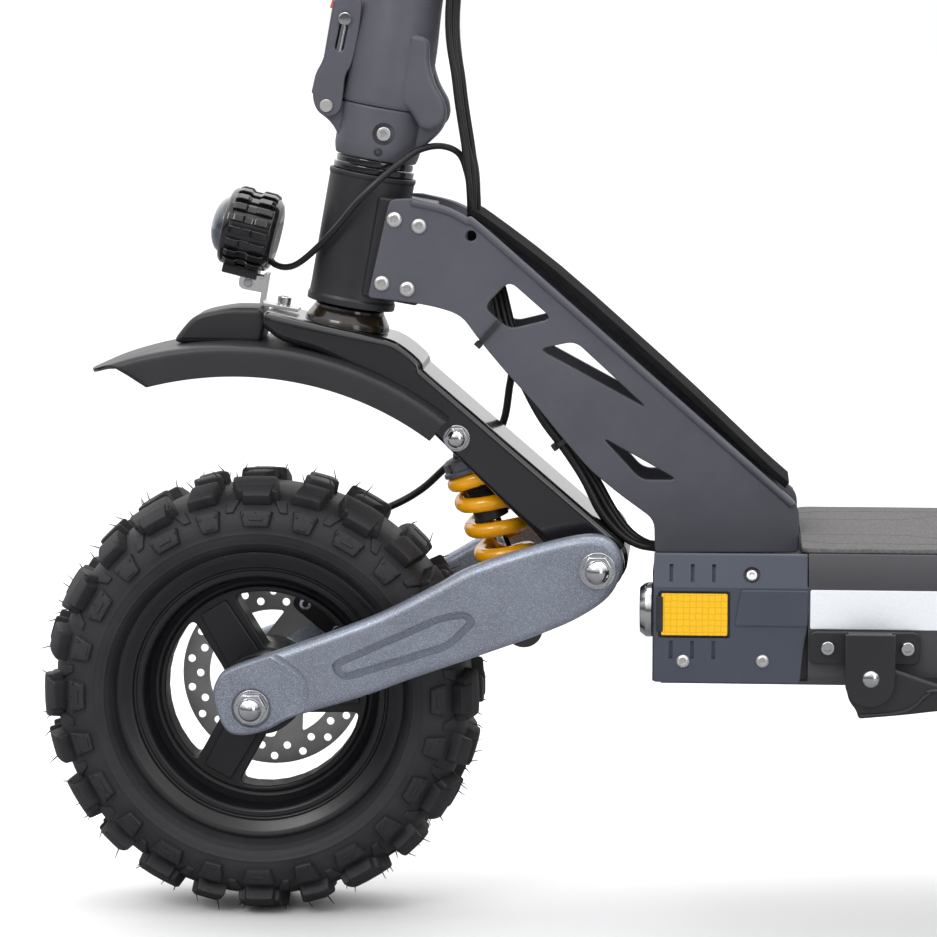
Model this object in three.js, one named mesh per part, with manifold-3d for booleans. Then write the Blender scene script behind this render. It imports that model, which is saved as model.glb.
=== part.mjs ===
// A dual-arm electric kick scooter with 11-inch off-road tyres, a folding stem and sprung swing arms.
// Millimetres. +X runs to the rear, +Y to the rider's right, +Z up. While it is modelled, x = 0 is the
// front axle and z = 0 the ground; the finished group is centred over its own box at the end.
import * as THREE from "three";
import { mergeVertices } from "three/addons/utils/BufferGeometryUtils.js";
import Module from "manifold-3d";

const wasm = await Module();
wasm.setup();
const degrees = Math.PI / 180;

// ---------- driving dimensions ----------
const seat = 0.3; // gap between pieces that touch
const running = 0.6; // radial gap round anything that turns

const wheelbase = 1000;
const wheelRadius = 142.5;
const tyreWidth = 92;
const treadWidth = 66;
const tyreWall = 8;
const rimRadius = 92.5;
const rimWidth = 66;
const rimOpening = 65.5;
const beadDepth = 8;
const hubRadius = 26;
const axleRadius = 7.6;
const discRadius = 60;
const discThickness = 2;
const discOffset = 45; // disc's middle plane from the wheel's middle plane

const pivotBehindTyre = 74;
const pivotRise = 89.4; // arm pivot above the axle
const armInner = 60; // inner face of a swing arm from the middle plane
const armThickness = 16;
const pivotTubeRadius = 17;
const pivotBoltRadius = 6;
const bridgeRadius = 10;

const shockTopBehind = 126; // upper eye behind the axle
const shockTopRise = 166;
const shockFootBehind = 170;
const shockFootRise = 50;
const shockPinRadius = 5;
const shockFootSlack = 1.2; // the open pivot's clearance
const springRadius = 20;
const springLength = 66;

const rake = 10 * degrees;
const headBehindAxle = 56;
const headAboveTyre = 105;
const headLength = 85;
const headRadius = 27;
const headBore = 20;
const steererRadius = 15;

const crownHalfWidth = 32;
const forkWall = 6;
const fenderAboveTyre = 80;
const fenderHalfWidth = 48;
const fenderWall = 3;

const neckPlateGap = 56; // between the neck plates
const neckPlateThickness = 5;
const deckWidth = 208;
const deckHeight = 81;
const deckWall = 4;
const deckAbovePivot = 15;
const deckBehindPivot = 34.5;
const platformLength = 95;
const platformDrop = 10;
const coverThickness = 7.5;
const matThickness = 2.5;

const foldAboveHead = 43; // stem's split above the head tube
const foldPinBehind = 28;
const foldPinRadius = 5;
const knuckleRadius = 12.5;
const knuckleHalfWidth = 12;
const stemRadius = 25;
const stemWall = 3.5;
const barHeight = 1235;
const barHalfWidth = 312;
const barRadius = 11.1;
const barClampRadius = 15.9;
const gripLength = 125;
const gripRadius = 16.5;
const cableRadius = 2.5;

// ---------- places that follow from them ----------
const pivotBehind = wheelRadius + pivotBehindTyre;
const pivotHeight = wheelRadius + pivotRise;
const foldHeight = headLength + foldAboveHead; // from the head tube's foot
const headFoot = { x: headBehindAxle, z: 2 * wheelRadius + headAboveTyre };
const deckFront = pivotBehind + deckBehindPivot;
const deckRear = wheelbase - pivotBehind - deckBehindPivot;
const deckTop = pivotHeight + deckAbovePivot;
const deckFloor = deckTop - deckHeight;
const platformTop = deckTop - platformDrop;
const platformEnd = deckFront + platformLength;
const armOuter = armInner + armThickness;
const plateInner = neckPlateGap / 2;
const plateOuter = plateInner + neckPlateThickness;
const sideFace = deckWidth / 2;

// ---------- solids ----------
// Outlines may run either way round, so a solid that comes out inside out is turned back.
function solidOf(geometry) {
  const bare = geometry.index ? geometry.toNonIndexed() : geometry.clone();
  bare.deleteAttribute("normal");
  bare.deleteAttribute("uv");
  const merged = mergeVertices(bare, 1e-3);
  const corners = merged.index.array;
  const triangles = [];
  for (let i = 0; i < corners.length; i += 3) {
    const [a, b, c] = corners.slice(i, i + 3);
    if (a !== b && b !== c && c !== a) triangles.push(a, b, c);
  }
  const build = (order) =>
    new wasm.Manifold(
      new wasm.Mesh({
        numProp: 3,
        vertProperties: merged.attributes.position.array,
        triVerts: new Uint32Array(order),
      }),
    );
  const solid = build(triangles);
  return solid.volume() < 0 ? build(triangles.reverse()) : solid;
}

function geometryOf(solid) {
  const mesh = solid.getMesh();
  const geometry = new THREE.BufferGeometry();
  geometry.setAttribute("position", new THREE.BufferAttribute(mesh.vertProperties, mesh.numProp));
  geometry.setIndex(new THREE.BufferAttribute(mesh.triVerts, 1));
  return geometry;
}

const join = (...parts) => geometryOf(parts.map(solidOf).reduce((a, b) => a.add(b)));
const cut = (body, ...tools) =>
  geometryOf(tools.map(solidOf).reduce((a, b) => a.subtract(b), solidOf(body)));

const point2 = ([x, y]) => new THREE.Vector2(x, y);
const point3 = ([x, y, z]) => new THREE.Vector3(x, y, z);

// A shape whose corners are rounded to a radius, or square where it is 0.
function roundedShape(points, radius = 0, cornerSteps = 3) {
  const corners = points.map(point2);
  const outline = [];
  corners.forEach((corner, i) => {
    const before = corners.at(i - 1);
    const after = corners[(i + 1) % corners.length];
    const reach = Math.min(radius, corner.distanceTo(before) / 2.1, corner.distanceTo(after) / 2.1);
    if (reach <= 0) {
      outline.push(corner);
      return;
    }
    const start = corner.clone().lerp(before, reach / corner.distanceTo(before));
    const end = corner.clone().lerp(after, reach / corner.distanceTo(after));
    outline.push(...new THREE.QuadraticBezierCurve(start, corner, end).getPoints(cornerSteps));
  });
  return new THREE.Shape(outline);
}

// A smooth closed outline through points.
const smoothShape = (points, steps) => {
  const curve = new THREE.CatmullRomCurve3(
    points.map(([x, y]) => new THREE.Vector3(x, y, 0)),
    true,
    "catmullrom",
    0.4,
  );
  return new THREE.Shape(curve.getPoints(steps).slice(0, -1).map((p) => new THREE.Vector2(p.x, p.y)));
};

const extrude = (shape, depth) =>
  new THREE.ExtrudeGeometry(shape, { depth, bevelEnabled: false });

// An x, z outline carried from y = from to y = to.
const alongY = (shape, from, to) =>
  extrude(shape, to - from).rotateX(Math.PI / 2).translate(0, to, 0);
// A y, z outline carried along x.
const alongX = (shape, from, to) =>
  extrude(shape, to - from)
    .applyMatrix4(
      new THREE.Matrix4().makeBasis(
        new THREE.Vector3(0, 1, 0),
        new THREE.Vector3(0, 0, 1),
        new THREE.Vector3(1, 0, 0),
      ),
    )
    .translate(from, 0, 0);
// An x, y outline carried up.
const alongZ = (shape, from, to) => extrude(shape, to - from).translate(0, 0, from);

const box = (x0, x1, y0, y1, z0, z1) =>
  new THREE.BoxGeometry(x1 - x0, y1 - y0, z1 - z0).translate(
    (x0 + x1) / 2,
    (y0 + y1) / 2,
    (z0 + z1) / 2,
  );

// A round bar between two points.
function bar(from, to, radius, sides = 16, endRadius = radius) {
  const a = point3(from);
  const way = point3(to).sub(a);
  const turn = new THREE.Quaternion().setFromUnitVectors(
    new THREE.Vector3(0, 1, 0),
    way.clone().normalize(),
  );
  return new THREE.CylinderGeometry(endRadius, radius, way.length(), sides)
    .applyQuaternion(turn)
    .translate(a.x + way.x / 2, a.y + way.y / 2, a.z + way.z / 2);
}

// A profile of [radius, along] points turned round the Y axis, or round the Z axis.
const turnedY = (profile, sides) => new THREE.LatheGeometry(profile.map(point2), sides);
const turnedZ = (profile, sides) => turnedY(profile, sides).rotateX(Math.PI / 2);
const ringProfile = (inner, outer, from, to) => [
  [inner, from],
  [outer, from],
  [outer, to],
  [inner, to],
  [inner, from],
];

// A round cable or tube through points.
function cable(points, radius, steps, sides = 8) {
  const section = new THREE.Shape(
    Array.from({ length: sides }, (_, i) =>
      new THREE.Vector2(
        radius * Math.cos((2 * Math.PI * i) / sides),
        radius * Math.sin((2 * Math.PI * i) / sides),
      ),
    ),
  );
  const path = new THREE.CatmullRomCurve3(points.map(point3), false, "centripetal");
  return new THREE.ExtrudeGeometry(section, { steps, extrudePath: path, bevelEnabled: false });
}

// A domed hexagon nut standing on a face at y = from, pointing to y = from + reach.
function domeNut(x, z, from, reach, across) {
  const flat = from + reach * 0.6;
  const hexagon = bar([x, from, z], [x, flat, z], across / 2, 6);
  const dome = bar([x, from + reach * 0.2, z], [x, from + reach, z], across * 0.43, 10, across * 0.2);
  return join(hexagon, dome);
}

// ---------- materials and the scene ----------
const finishes = {
  blackGloss: [0x0b0b0d, 0.18, 0.1],
  blackSatin: [0x151518, 0.45, 0.3],
  blackMatte: [0x17171a, 0.75, 0.0],
  greyCast: [0x3c3e43, 0.5, 0.6],
  blueGrey: [0x5d6d7e, 0.38, 0.7],
  steel: [0xb9bcc0, 0.25, 1.0],
  rubber: [0x1a1a1b, 0.9, 0.0],
  spring: [0xf0a20c, 0.3, 0.1],
  slate: [0x2b3038, 0.55, 0.0],
  mat: [0x6f7276, 0.95, 0.0],
  lamp: [0x08090a, 0.15, 0.0],
  red: [0xa01018, 0.3, 0.0],
  blue: [0x2a4a80, 0.5, 0.0],
};

const scooter = new THREE.Group();
const model = new THREE.Group();
scooter.add(model);

function place(parent, name, finish, geometry) {
  const [color, roughness, metalness] = finishes[finish];
  const mesh = new THREE.Mesh(
    geometryOf(solidOf(geometry)),
    new THREE.MeshStandardMaterial({ color, roughness, metalness }),
  );
  mesh.name = name;
  parent.add(mesh);
}

// The steering axis: +Z up the head tube, +X behind it, from the head tube's foot.
const head = new THREE.Group();
head.position.set(headFoot.x, 0, headFoot.z);
head.rotation.y = rake;
model.add(head);

function inHead([x, z]) {
  const [dx, dz] = [x - headFoot.x, z - headFoot.z];
  return [
    dx * Math.cos(rake) - dz * Math.sin(rake),
    dx * Math.sin(rake) + dz * Math.cos(rake),
  ];
}

function fromHead([x, z]) {
  return [
    headFoot.x + x * Math.cos(rake) + z * Math.sin(rake),
    headFoot.z - x * Math.sin(rake) + z * Math.cos(rake),
  ];
}

// ---------- channel legs that carry the swing arms ----------
// A leg of U section, open below, from its root to the pivot tube at its foot.
// root and foot are x, z points; the leg is as deep as the pivot tube is thick.
function channelLeg(root, foot) {
  const start = point2(root);
  const end = point2(foot);
  const along = end.clone().sub(start).normalize();
  const across = new THREE.Vector2(-along.y, along.x);
  if (across.y < 0) across.negate();
  const spot = (distance, height) => {
    const p = start.clone().addScaledVector(along, distance).addScaledVector(across, height);
    return [p.x, p.y];
  };
  const length = end.distanceTo(start);
  const depth = pivotTubeRadius;
  const outside = [spot(0, -depth), spot(0, depth), spot(length, depth), spot(length, -depth)];
  const cavityEnd = length - pivotTubeRadius - 4;
  const cavity = [
    spot(22, -depth - 9),
    spot(22, depth - forkWall),
    spot(cavityEnd, depth - forkWall),
    spot(cavityEnd, -depth - 9),
  ];
  return {
    outside: alongY(roundedShape(outside), -crownHalfWidth, crownHalfWidth),
    cavity: alongY(
      roundedShape(cavity),
      -crownHalfWidth + forkWall,
      crownHalfWidth - forkWall,
    ),
    tube: bar([foot[0], -armInner + 3, foot[1]], [foot[0], armInner - 3, foot[1]], pivotTubeRadius, 20),
    bore: bar(
      [foot[0], -armInner, foot[1]],
      [foot[0], armInner, foot[1]],
      pivotBoltRadius + running,
      16,
    ),
  };
}

// ---------- fork ----------
const crownTop = -10.5;
const crownFoot = -20;
const crownFront = -51;
const crownRear = 42;
const pivotInHead = inHead([pivotBehind, pivotHeight]);
const legRoot = [33, -33];
const frontLeg = channelLeg(legRoot, pivotInHead);
const shockTopInHead = inHead([shockTopBehind, wheelRadius + shockTopRise]);
const foldBaseFoot = headLength + 9;
const steererTop = foldHeight - 14;

function shockTopPin(x, z) {
  return bar([x, -crownHalfWidth + 1, z], [x, crownHalfWidth - 1, z], shockPinRadius, 12);
}

const crown = alongY(
  roundedShape([
    [crownFront, crownFoot],
    [crownFront, crownTop],
    [crownRear - 9, crownTop - 3],
    [crownRear + 3, crownTop - 12],
    [crownRear + 4, crownFoot - 22],
    [12, crownFoot],
  ]),
  -crownHalfWidth,
  crownHalfWidth,
);
const steerer = bar([0, 0, crownFoot + 2], [0, 0, steererTop], steererRadius, 20);
const crownRace = turnedZ([[0, crownTop - 2], [24, crownTop - 2], [22, -1], [0, -1]], 24);
place(
  head,
  "fork",
  "blackGloss",
  join(
    cut(join(crown, frontLeg.outside, frontLeg.tube), frontLeg.cavity, frontLeg.bore),
    steerer,
    crownRace,
    shockTopPin(...shockTopInHead),
    domeNut(...shockTopInHead, -crownHalfWidth + 1, -10, 15),
    domeNut(...shockTopInHead, crownHalfWidth - 1, 10, 15),
  ),
);

// ---------- head tube and its bearing ----------
const bossRear = 44;
const bossFoot = 9;
const bossTop = headLength - 12;
const headShell = join(
  turnedZ(
    [
      [0, seat],
      [headRadius + 1.5, seat],
      [headRadius + 1.5, 6],
      [headRadius, 10],
      [headRadius - 0.5, headLength - 8],
      [headRadius + 0.5, headLength - 6],
      [headRadius + 0.5, headLength],
      [0, headLength],
    ],
    24,
  ),
  box(8, bossRear, -plateInner + seat, plateInner - seat, bossFoot, bossTop),
);
place(
  head,
  "head_tube",
  "blackSatin",
  cut(headShell, turnedZ([[0, -2], [headBore, -2], [headBore, headLength + 2], [0, headLength + 2]], 24)),
);
place(
  head,
  "headset_bearing",
  "steel",
  turnedZ(ringProfile(steererRadius + running, headBore - running, headLength - 12, headLength - seat), 24),
);

// ---------- folding joint ----------
const foldPin = [foldPinBehind, foldHeight - 1];
const latchPin = [-35, foldHeight - 6];
const latchPinRadius = 4;
const latchHalfWidth = 11;
const baseBody = join(
  turnedZ(
    [
      [0, foldBaseFoot],
      [25, foldBaseFoot],
      [27, foldBaseFoot + 5],
      [27, foldHeight - 2],
      [26, foldHeight - seat],
      [0, foldHeight - seat],
    ],
    24,
  ),
  bar(
    [foldPin[0], -knuckleHalfWidth, foldPin[1]],
    [foldPin[0], knuckleHalfWidth, foldPin[1]],
    knuckleRadius,
    18,
  ),
  box(10, foldPin[0], -knuckleHalfWidth, knuckleHalfWidth, foldHeight - 20, foldHeight - seat),
  box(latchPin[0], -15, -latchHalfWidth, latchHalfWidth, latchPin[1] - 6, latchPin[1] + 4),
  bar([latchPin[0], -latchHalfWidth, latchPin[1]], [latchPin[0], latchHalfWidth, latchPin[1]], 7, 14),
);
const knuckleRoom = (side) =>
  bar(
    [foldPin[0], side * (knuckleHalfWidth + 0.1), foldPin[1]],
    [foldPin[0], side * 40, foldPin[1]],
    knuckleRadius + running,
    18,
  );
const foldBore = bar(
  [foldPin[0], -40, foldPin[1]],
  [foldPin[0], 40, foldPin[1]],
  foldPinRadius + running,
  14,
);
const latchBore = bar(
  [latchPin[0], -40, latchPin[1]],
  [latchPin[0], 40, latchPin[1]],
  latchPinRadius + running,
  12,
);
const steererSocket = bar([0, 0, foldBaseFoot - 1], [0, 0, steererTop + 1], steererRadius + seat, 20);
place(
  head,
  "fold_base",
  "greyCast",
  cut(baseBody, steererSocket, knuckleRoom(-1), knuckleRoom(1), foldBore, latchBore),
);

// ---------- stem ----------
const barTop = (barHeight - headFoot.z) / Math.cos(rake);
const clampHalfWidth = 27;
const stemKnuckle = (side) =>
  join(
    bar(
      [foldPin[0], side * (knuckleHalfWidth + running), foldPin[1]],
      [foldPin[0], side * 24, foldPin[1]],
      knuckleRadius,
      18,
    ),
    box(
      12,
      foldPin[0] + 6,
      Math.min(side * (knuckleHalfWidth + running), side * 24),
      Math.max(side * (knuckleHalfWidth + running), side * 24),
      foldHeight + seat,
      foldHeight + 22,
    ),
  );
const stemBody = turnedZ(
  [
    [0, foldHeight + seat],
    [26, foldHeight + seat],
    [27, foldHeight + 3],
    [27, foldHeight + 30],
    [stemRadius + 1, foldHeight + 62],
    [stemRadius, foldHeight + 66],
    [stemRadius, barTop - 34],
    [stemRadius - 3, barTop - 12],
    [0, barTop - 12],
  ],
  24,
);
const barClamp = alongY(
  roundedShape(
    [
      [-24, barTop - 30],
      [-24, barTop + 22],
      [24, barTop + 22],
      [24, barTop - 30],
    ],
    10,
  ),
  -clampHalfWidth,
  clampHalfWidth,
);
const baseKnuckleRoom = bar(
  [foldPin[0], -knuckleHalfWidth - running, foldPin[1]],
  [foldPin[0], knuckleHalfWidth + running, foldPin[1]],
  knuckleRadius + running,
  18,
);
const stemHollow = bar(
  [0, 0, foldHeight - 1],
  [0, 0, barTop - 42],
  stemRadius - stemWall,
  24,
);
const foldPinBar = bar([foldPin[0], -23, foldPin[1]], [foldPin[0], 23, foldPin[1]], foldPinRadius, 14);
place(
  head,
  "stem",
  "greyCast",
  join(
    cut(
      join(stemBody, barClamp, stemKnuckle(-1), stemKnuckle(1)),
      baseKnuckleRoom,
      stemHollow,
      bar([0, -40, barTop], [0, 40, barTop], barClampRadius + seat, 24),
    ),
    foldPinBar,
  ),
);

// The latch that holds the stem upright: a channel that hangs on the base and lies along the stem.
const latchWall = 3;
const latchInner = latchHalfWidth + running;
const latchSide = (side) =>
  alongY(
    roundedShape(
      [
        [latchPin[0] - 8, latchPin[1] - 8],
        [latchPin[0] - 8, latchPin[1] + 30],
        [latchPin[0] - 2, latchPin[1] + 64],
        [latchPin[0] + 6, latchPin[1] + 64],
        [latchPin[0] + 5, latchPin[1] + 6],
        [latchPin[0] + 3, latchPin[1] - 8],
      ],
      4,
      2,
    ),
    Math.min(side * latchInner, side * (latchInner + latchWall)),
    Math.max(side * latchInner, side * (latchInner + latchWall)),
  );
const latchFace = alongY(
  roundedShape([
    [latchPin[0] - 8, latchPin[1] + 12],
    [latchPin[0] - 8, latchPin[1] + 30],
    [latchPin[0] - 2, latchPin[1] + 64],
    [latchPin[0] + 2, latchPin[1] + 64],
    [latchPin[0] - 4, latchPin[1] + 30],
    [latchPin[0] - 4, latchPin[1] + 12],
  ]),
  -latchInner - 1,
  latchInner + 1,
);
place(
  head,
  "fold_lever",
  "greyCast",
  join(
    latchSide(-1),
    latchSide(1),
    latchFace,
    bar(
      [latchPin[0], -latchInner - 1, latchPin[1]],
      [latchPin[0], latchInner + 1, latchPin[1]],
      latchPinRadius,
      12,
    ),
  ),
);

// ---------- handlebar and controls ----------
place(
  head,
  "handlebar",
  "blackSatin",
  turnedY(
    [
      [0, -barHalfWidth],
      [barRadius, -barHalfWidth],
      [barRadius, -80],
      [barClampRadius, -45],
      [barClampRadius, 45],
      [barRadius, 80],
      [barRadius, barHalfWidth],
      [0, barHalfWidth],
    ],
    24,
  ).translate(0, 0, barTop),
);

const gripEnd = barHalfWidth + 3;
const gripStart = gripEnd - gripLength;
for (const [name, side] of [["grip_left", -1], ["grip_right", 1]]) {
  const profile = [
    [barRadius + seat, gripStart],
    [gripRadius + 2, gripStart],
    [gripRadius + 2, gripStart + 4],
    [gripRadius - 1, gripStart + 10],
    [gripRadius, gripStart + gripLength * 0.5],
    [gripRadius - 1, gripEnd - 8],
    [gripRadius + 1, gripEnd - 3],
    [gripRadius - 4, gripEnd],
    [0, gripEnd],
    [0, barHalfWidth + seat],
    [barRadius + seat, barHalfWidth + seat],
    [barRadius + seat, gripStart],
  ];
  place(
    head,
    name,
    "rubber",
    turnedY(profile.map(([radius, along]) => [radius, side * along]), 24).translate(0, 0, barTop),
  );
}

const perchOuter = gripStart - 2;
const perchInner = perchOuter - 16;
const leverPivot = { x: -38, y: perchInner + 4 };
const leverHalfHeight = 4;
const podInner = perchInner - 36;
const sideBox = (side, x0, x1, y0, y1, z0, z1) =>
  box(x0, x1, Math.min(side * y0, side * y1), Math.max(side * y0, side * y1), z0, z1);
const barBore = (side) =>
  bar([0, side * (podInner - 60), barTop], [0, side * gripStart, barTop], barRadius + seat, 20);

function perch(side) {
  const lugs = [-1, 1].map((level) => {
    const low = barTop + level * (leverHalfHeight + running);
    const high = barTop + level * (leverHalfHeight + running + 4);
    return sideBox(
      side,
      leverPivot.x - 8,
      -8,
      perchInner - 4,
      perchOuter,
      Math.min(low, high),
      Math.max(low, high),
    );
  });
  return join(
    bar([0, side * perchInner, barTop], [0, side * perchOuter, barTop], 16, 20),
    ...lugs,
    bar(
      [leverPivot.x, side * leverPivot.y, barTop - leverHalfHeight - 4],
      [leverPivot.x, side * leverPivot.y, barTop + leverHalfHeight + 4],
      3,
      10,
    ),
    bar([0, side * podInner, barTop], [0, side * (perchInner + 1), barTop], 17, 20),
  );
}

const hornButton = { y: podInner + 16, radius: 5, face: 21, travel: 1.6 };
const buttonWell = bar(
  [14, -hornButton.y, barTop],
  [24, -hornButton.y, barTop],
  hornButton.radius + running,
  14,
);
place(
  head,
  "controls_left",
  "blackMatte",
  cut(
    join(
      perch(-1),
      sideBox(-1, -14, hornButton.face, podInner, perchInner - 2, barTop - 15, barTop + 15),
    ),
    barBore(-1),
    buttonWell,
  ),
);
place(
  head,
  "horn_button",
  "red",
  bar(
    [14 + hornButton.travel + seat, -hornButton.y, barTop],
    [hornButton.face + 2.5, -hornButton.y, barTop],
    hornButton.radius,
    14,
  ),
);

const displayTop = barTop + 36;
const throttleRoom = { from: podInner - 14, to: podInner - 1 };
place(
  head,
  "controls_right",
  "blackMatte",
  cut(
    join(
      perch(1),
      box(-30, 26, podInner, perchInner - 2, barTop + 8, displayTop),
    ),
    barBore(1),
  ),
);
const throttleHub = bar(
  [0, throttleRoom.from, barTop],
  [0, throttleRoom.to, barTop],
  17,
  20,
);
const throttlePaddle = box(10, 19, throttleRoom.from, throttleRoom.to, barTop - 40, barTop);
place(
  head,
  "throttle",
  "blackGloss",
  cut(
    join(throttleHub, throttlePaddle),
    bar([0, throttleRoom.from - 1, barTop], [0, throttleRoom.to + 1, barTop], barRadius + running, 20),
  ),
);

for (const [name, side] of [["brake_lever_left", -1], ["brake_lever_right", 1]]) {
  const outline = smoothShape(
    [
      [leverPivot.x + 7, side * (leverPivot.y - 2)],
      [leverPivot.x + 1, side * (leverPivot.y - 7)],
      [leverPivot.x - 7, side * (leverPivot.y - 2)],
      [leverPivot.x - 14, side * (leverPivot.y + 26)],
      [leverPivot.x - 24, side * (leverPivot.y + 70)],
      [leverPivot.x - 26, side * (leverPivot.y + 116)],
      [leverPivot.x - 20, side * (leverPivot.y + 122)],
      [leverPivot.x - 16, side * (leverPivot.y + 110)],
      [leverPivot.x - 13, side * (leverPivot.y + 70)],
      [leverPivot.x, side * (leverPivot.y + 26)],
    ],
    30,
  );
  const blade = alongZ(outline, barTop - leverHalfHeight, barTop + leverHalfHeight);
  const bore = bar(
    [leverPivot.x, side * leverPivot.y, barTop - 10],
    [leverPivot.x, side * leverPivot.y, barTop + 10],
    3 + running,
    12,
  );
  place(head, name, "steel", cut(blade, bore));
}

// ---------- headlight on its bracket ----------
const lampMiddle = [-70, 35];
const lampRadius = 26.5;
const lampLength = 31;
const lampHinge = [-66, 3];
const lampHingeRadius = 3;
const bracketTop = crownTop + seat + 3;
const bracketHalfWidth = 9;
const bracketWall = 3.5;
const bracketEar = (from) =>
  alongY(
    roundedShape([
      [lampHinge[0] - 5, lampHinge[1] - 4],
      [lampHinge[0] - 5, lampHinge[1] + 5],
      [lampHinge[0] + 4, lampHinge[1] + 5],
      [crownFront + 2, bracketTop],
      [crownFront + 2, bracketTop - 3],
      [crownFront - 3, bracketTop - 3],
    ]),
    from,
    from + bracketWall,
  );
place(
  head,
  "headlight_bracket",
  "steel",
  join(
    box(
      crownFront - 3,
      crownFront + 17,
      -bracketHalfWidth,
      bracketHalfWidth,
      crownTop + seat,
      bracketTop,
    ),
    bracketEar(-bracketHalfWidth),
    bracketEar(bracketHalfWidth - bracketWall),
    bar([crownFront + 9, 0, bracketTop - 1], [crownFront + 9, 0, bracketTop + 5], 5, 10),
  ),
);
const lampTilt = -3 * degrees;
const lampShell = turnedY(
  [
    [0, -lampLength / 2],
    [lampRadius * 0.8, -lampLength / 2],
    [lampRadius, -lampLength / 2 + 5],
    [lampRadius, lampLength / 2 - 2],
    [lampRadius - 3, lampLength / 2 + 2],
    [0, lampLength / 2 + 3],
  ],
  28,
)
  .rotateZ(Math.PI / 2)
  .rotateY(lampTilt)
  .translate(lampMiddle[0], 0, lampMiddle[1]);
place(
  head,
  "headlight",
  "lamp",
  join(
    lampShell,
    box(lampHinge[0] - 4, lampHinge[0] + 4, -4.9, 4.9, lampHinge[1] - 3, lampMiddle[1] - 20),
    bar([lampHinge[0], -4.9, lampHinge[1]], [lampHinge[0], 4.9, lampHinge[1]], lampHingeRadius + 1.2, 12),
  ),
);

// ---------- fenders ----------
// An arched strip round an axle at the origin, with turned-down sides, from one angle to another
// (measured from straight up, towards +X).
function fenderShell(fromAngle, toAngle) {
  const top = wheelRadius + fenderAboveTyre;
  const lip = top - 17;
  const section = [
    [lip, -fenderHalfWidth],
    [top - 5, -fenderHalfWidth],
    [top, -fenderHalfWidth + 8],
    [top + 1.5, 0],
    [top, fenderHalfWidth - 8],
    [top - 5, fenderHalfWidth],
    [lip, fenderHalfWidth],
    [lip, fenderHalfWidth - fenderWall],
    [top - 6, fenderHalfWidth - fenderWall],
    [top - fenderWall, fenderHalfWidth - 9],
    [top - fenderWall + 1.5, 0],
    [top - fenderWall, -fenderHalfWidth + 9],
    [top - 6, -fenderHalfWidth + fenderWall],
    [lip, -fenderHalfWidth + fenderWall],
    [lip, -fenderHalfWidth],
  ];
  const whole = turnedY(section, 48);
  const reach = 2 * top;
  const wedge = [
    [0, 0],
    ...Array.from({ length: 7 }, (_, i) => {
      const angle = fromAngle + ((toAngle - fromAngle) * i) / 6;
      return [reach * Math.sin(angle), reach * Math.cos(angle)];
    }),
  ];
  const sector = alongY(roundedShape(wedge), -2 * fenderHalfWidth, 2 * fenderHalfWidth);
  return geometryOf(solidOf(whole).intersect(solidOf(sector)));
}

// The front fender hangs under the crown, and its back is notched round the fork's leg.
const [axleInHeadX, axleInHeadZ] = inHead([0, wheelRadius]);
const fenderInHead = fenderShell(-30 * degrees, 40 * degrees)
  .rotateY(-rake)
  .translate(axleInHeadX, 0, axleInHeadZ);
const legRoom = alongY(
  roundedShape([
    [crownFront - 1, crownFoot - 0.5],
    [crownFront - 1, crownFoot + 40],
    [pivotInHead[0], crownFoot + 40],
    [pivotInHead[0] + 10, pivotInHead[1] - 40],
    [60, -100],
    [18, -54],
    [8, crownFoot - 0.5],
  ]),
  -crownHalfWidth - 1,
  crownHalfWidth + 1,
);
const fenderRiser = box(-96, crownFront - 2, -20, 20, crownFoot - 14, crownTop - 3);
place(
  head,
  "front_fender",
  "blackMatte",
  cut(join(fenderInHead, fenderRiser), legRoom),
);

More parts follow.
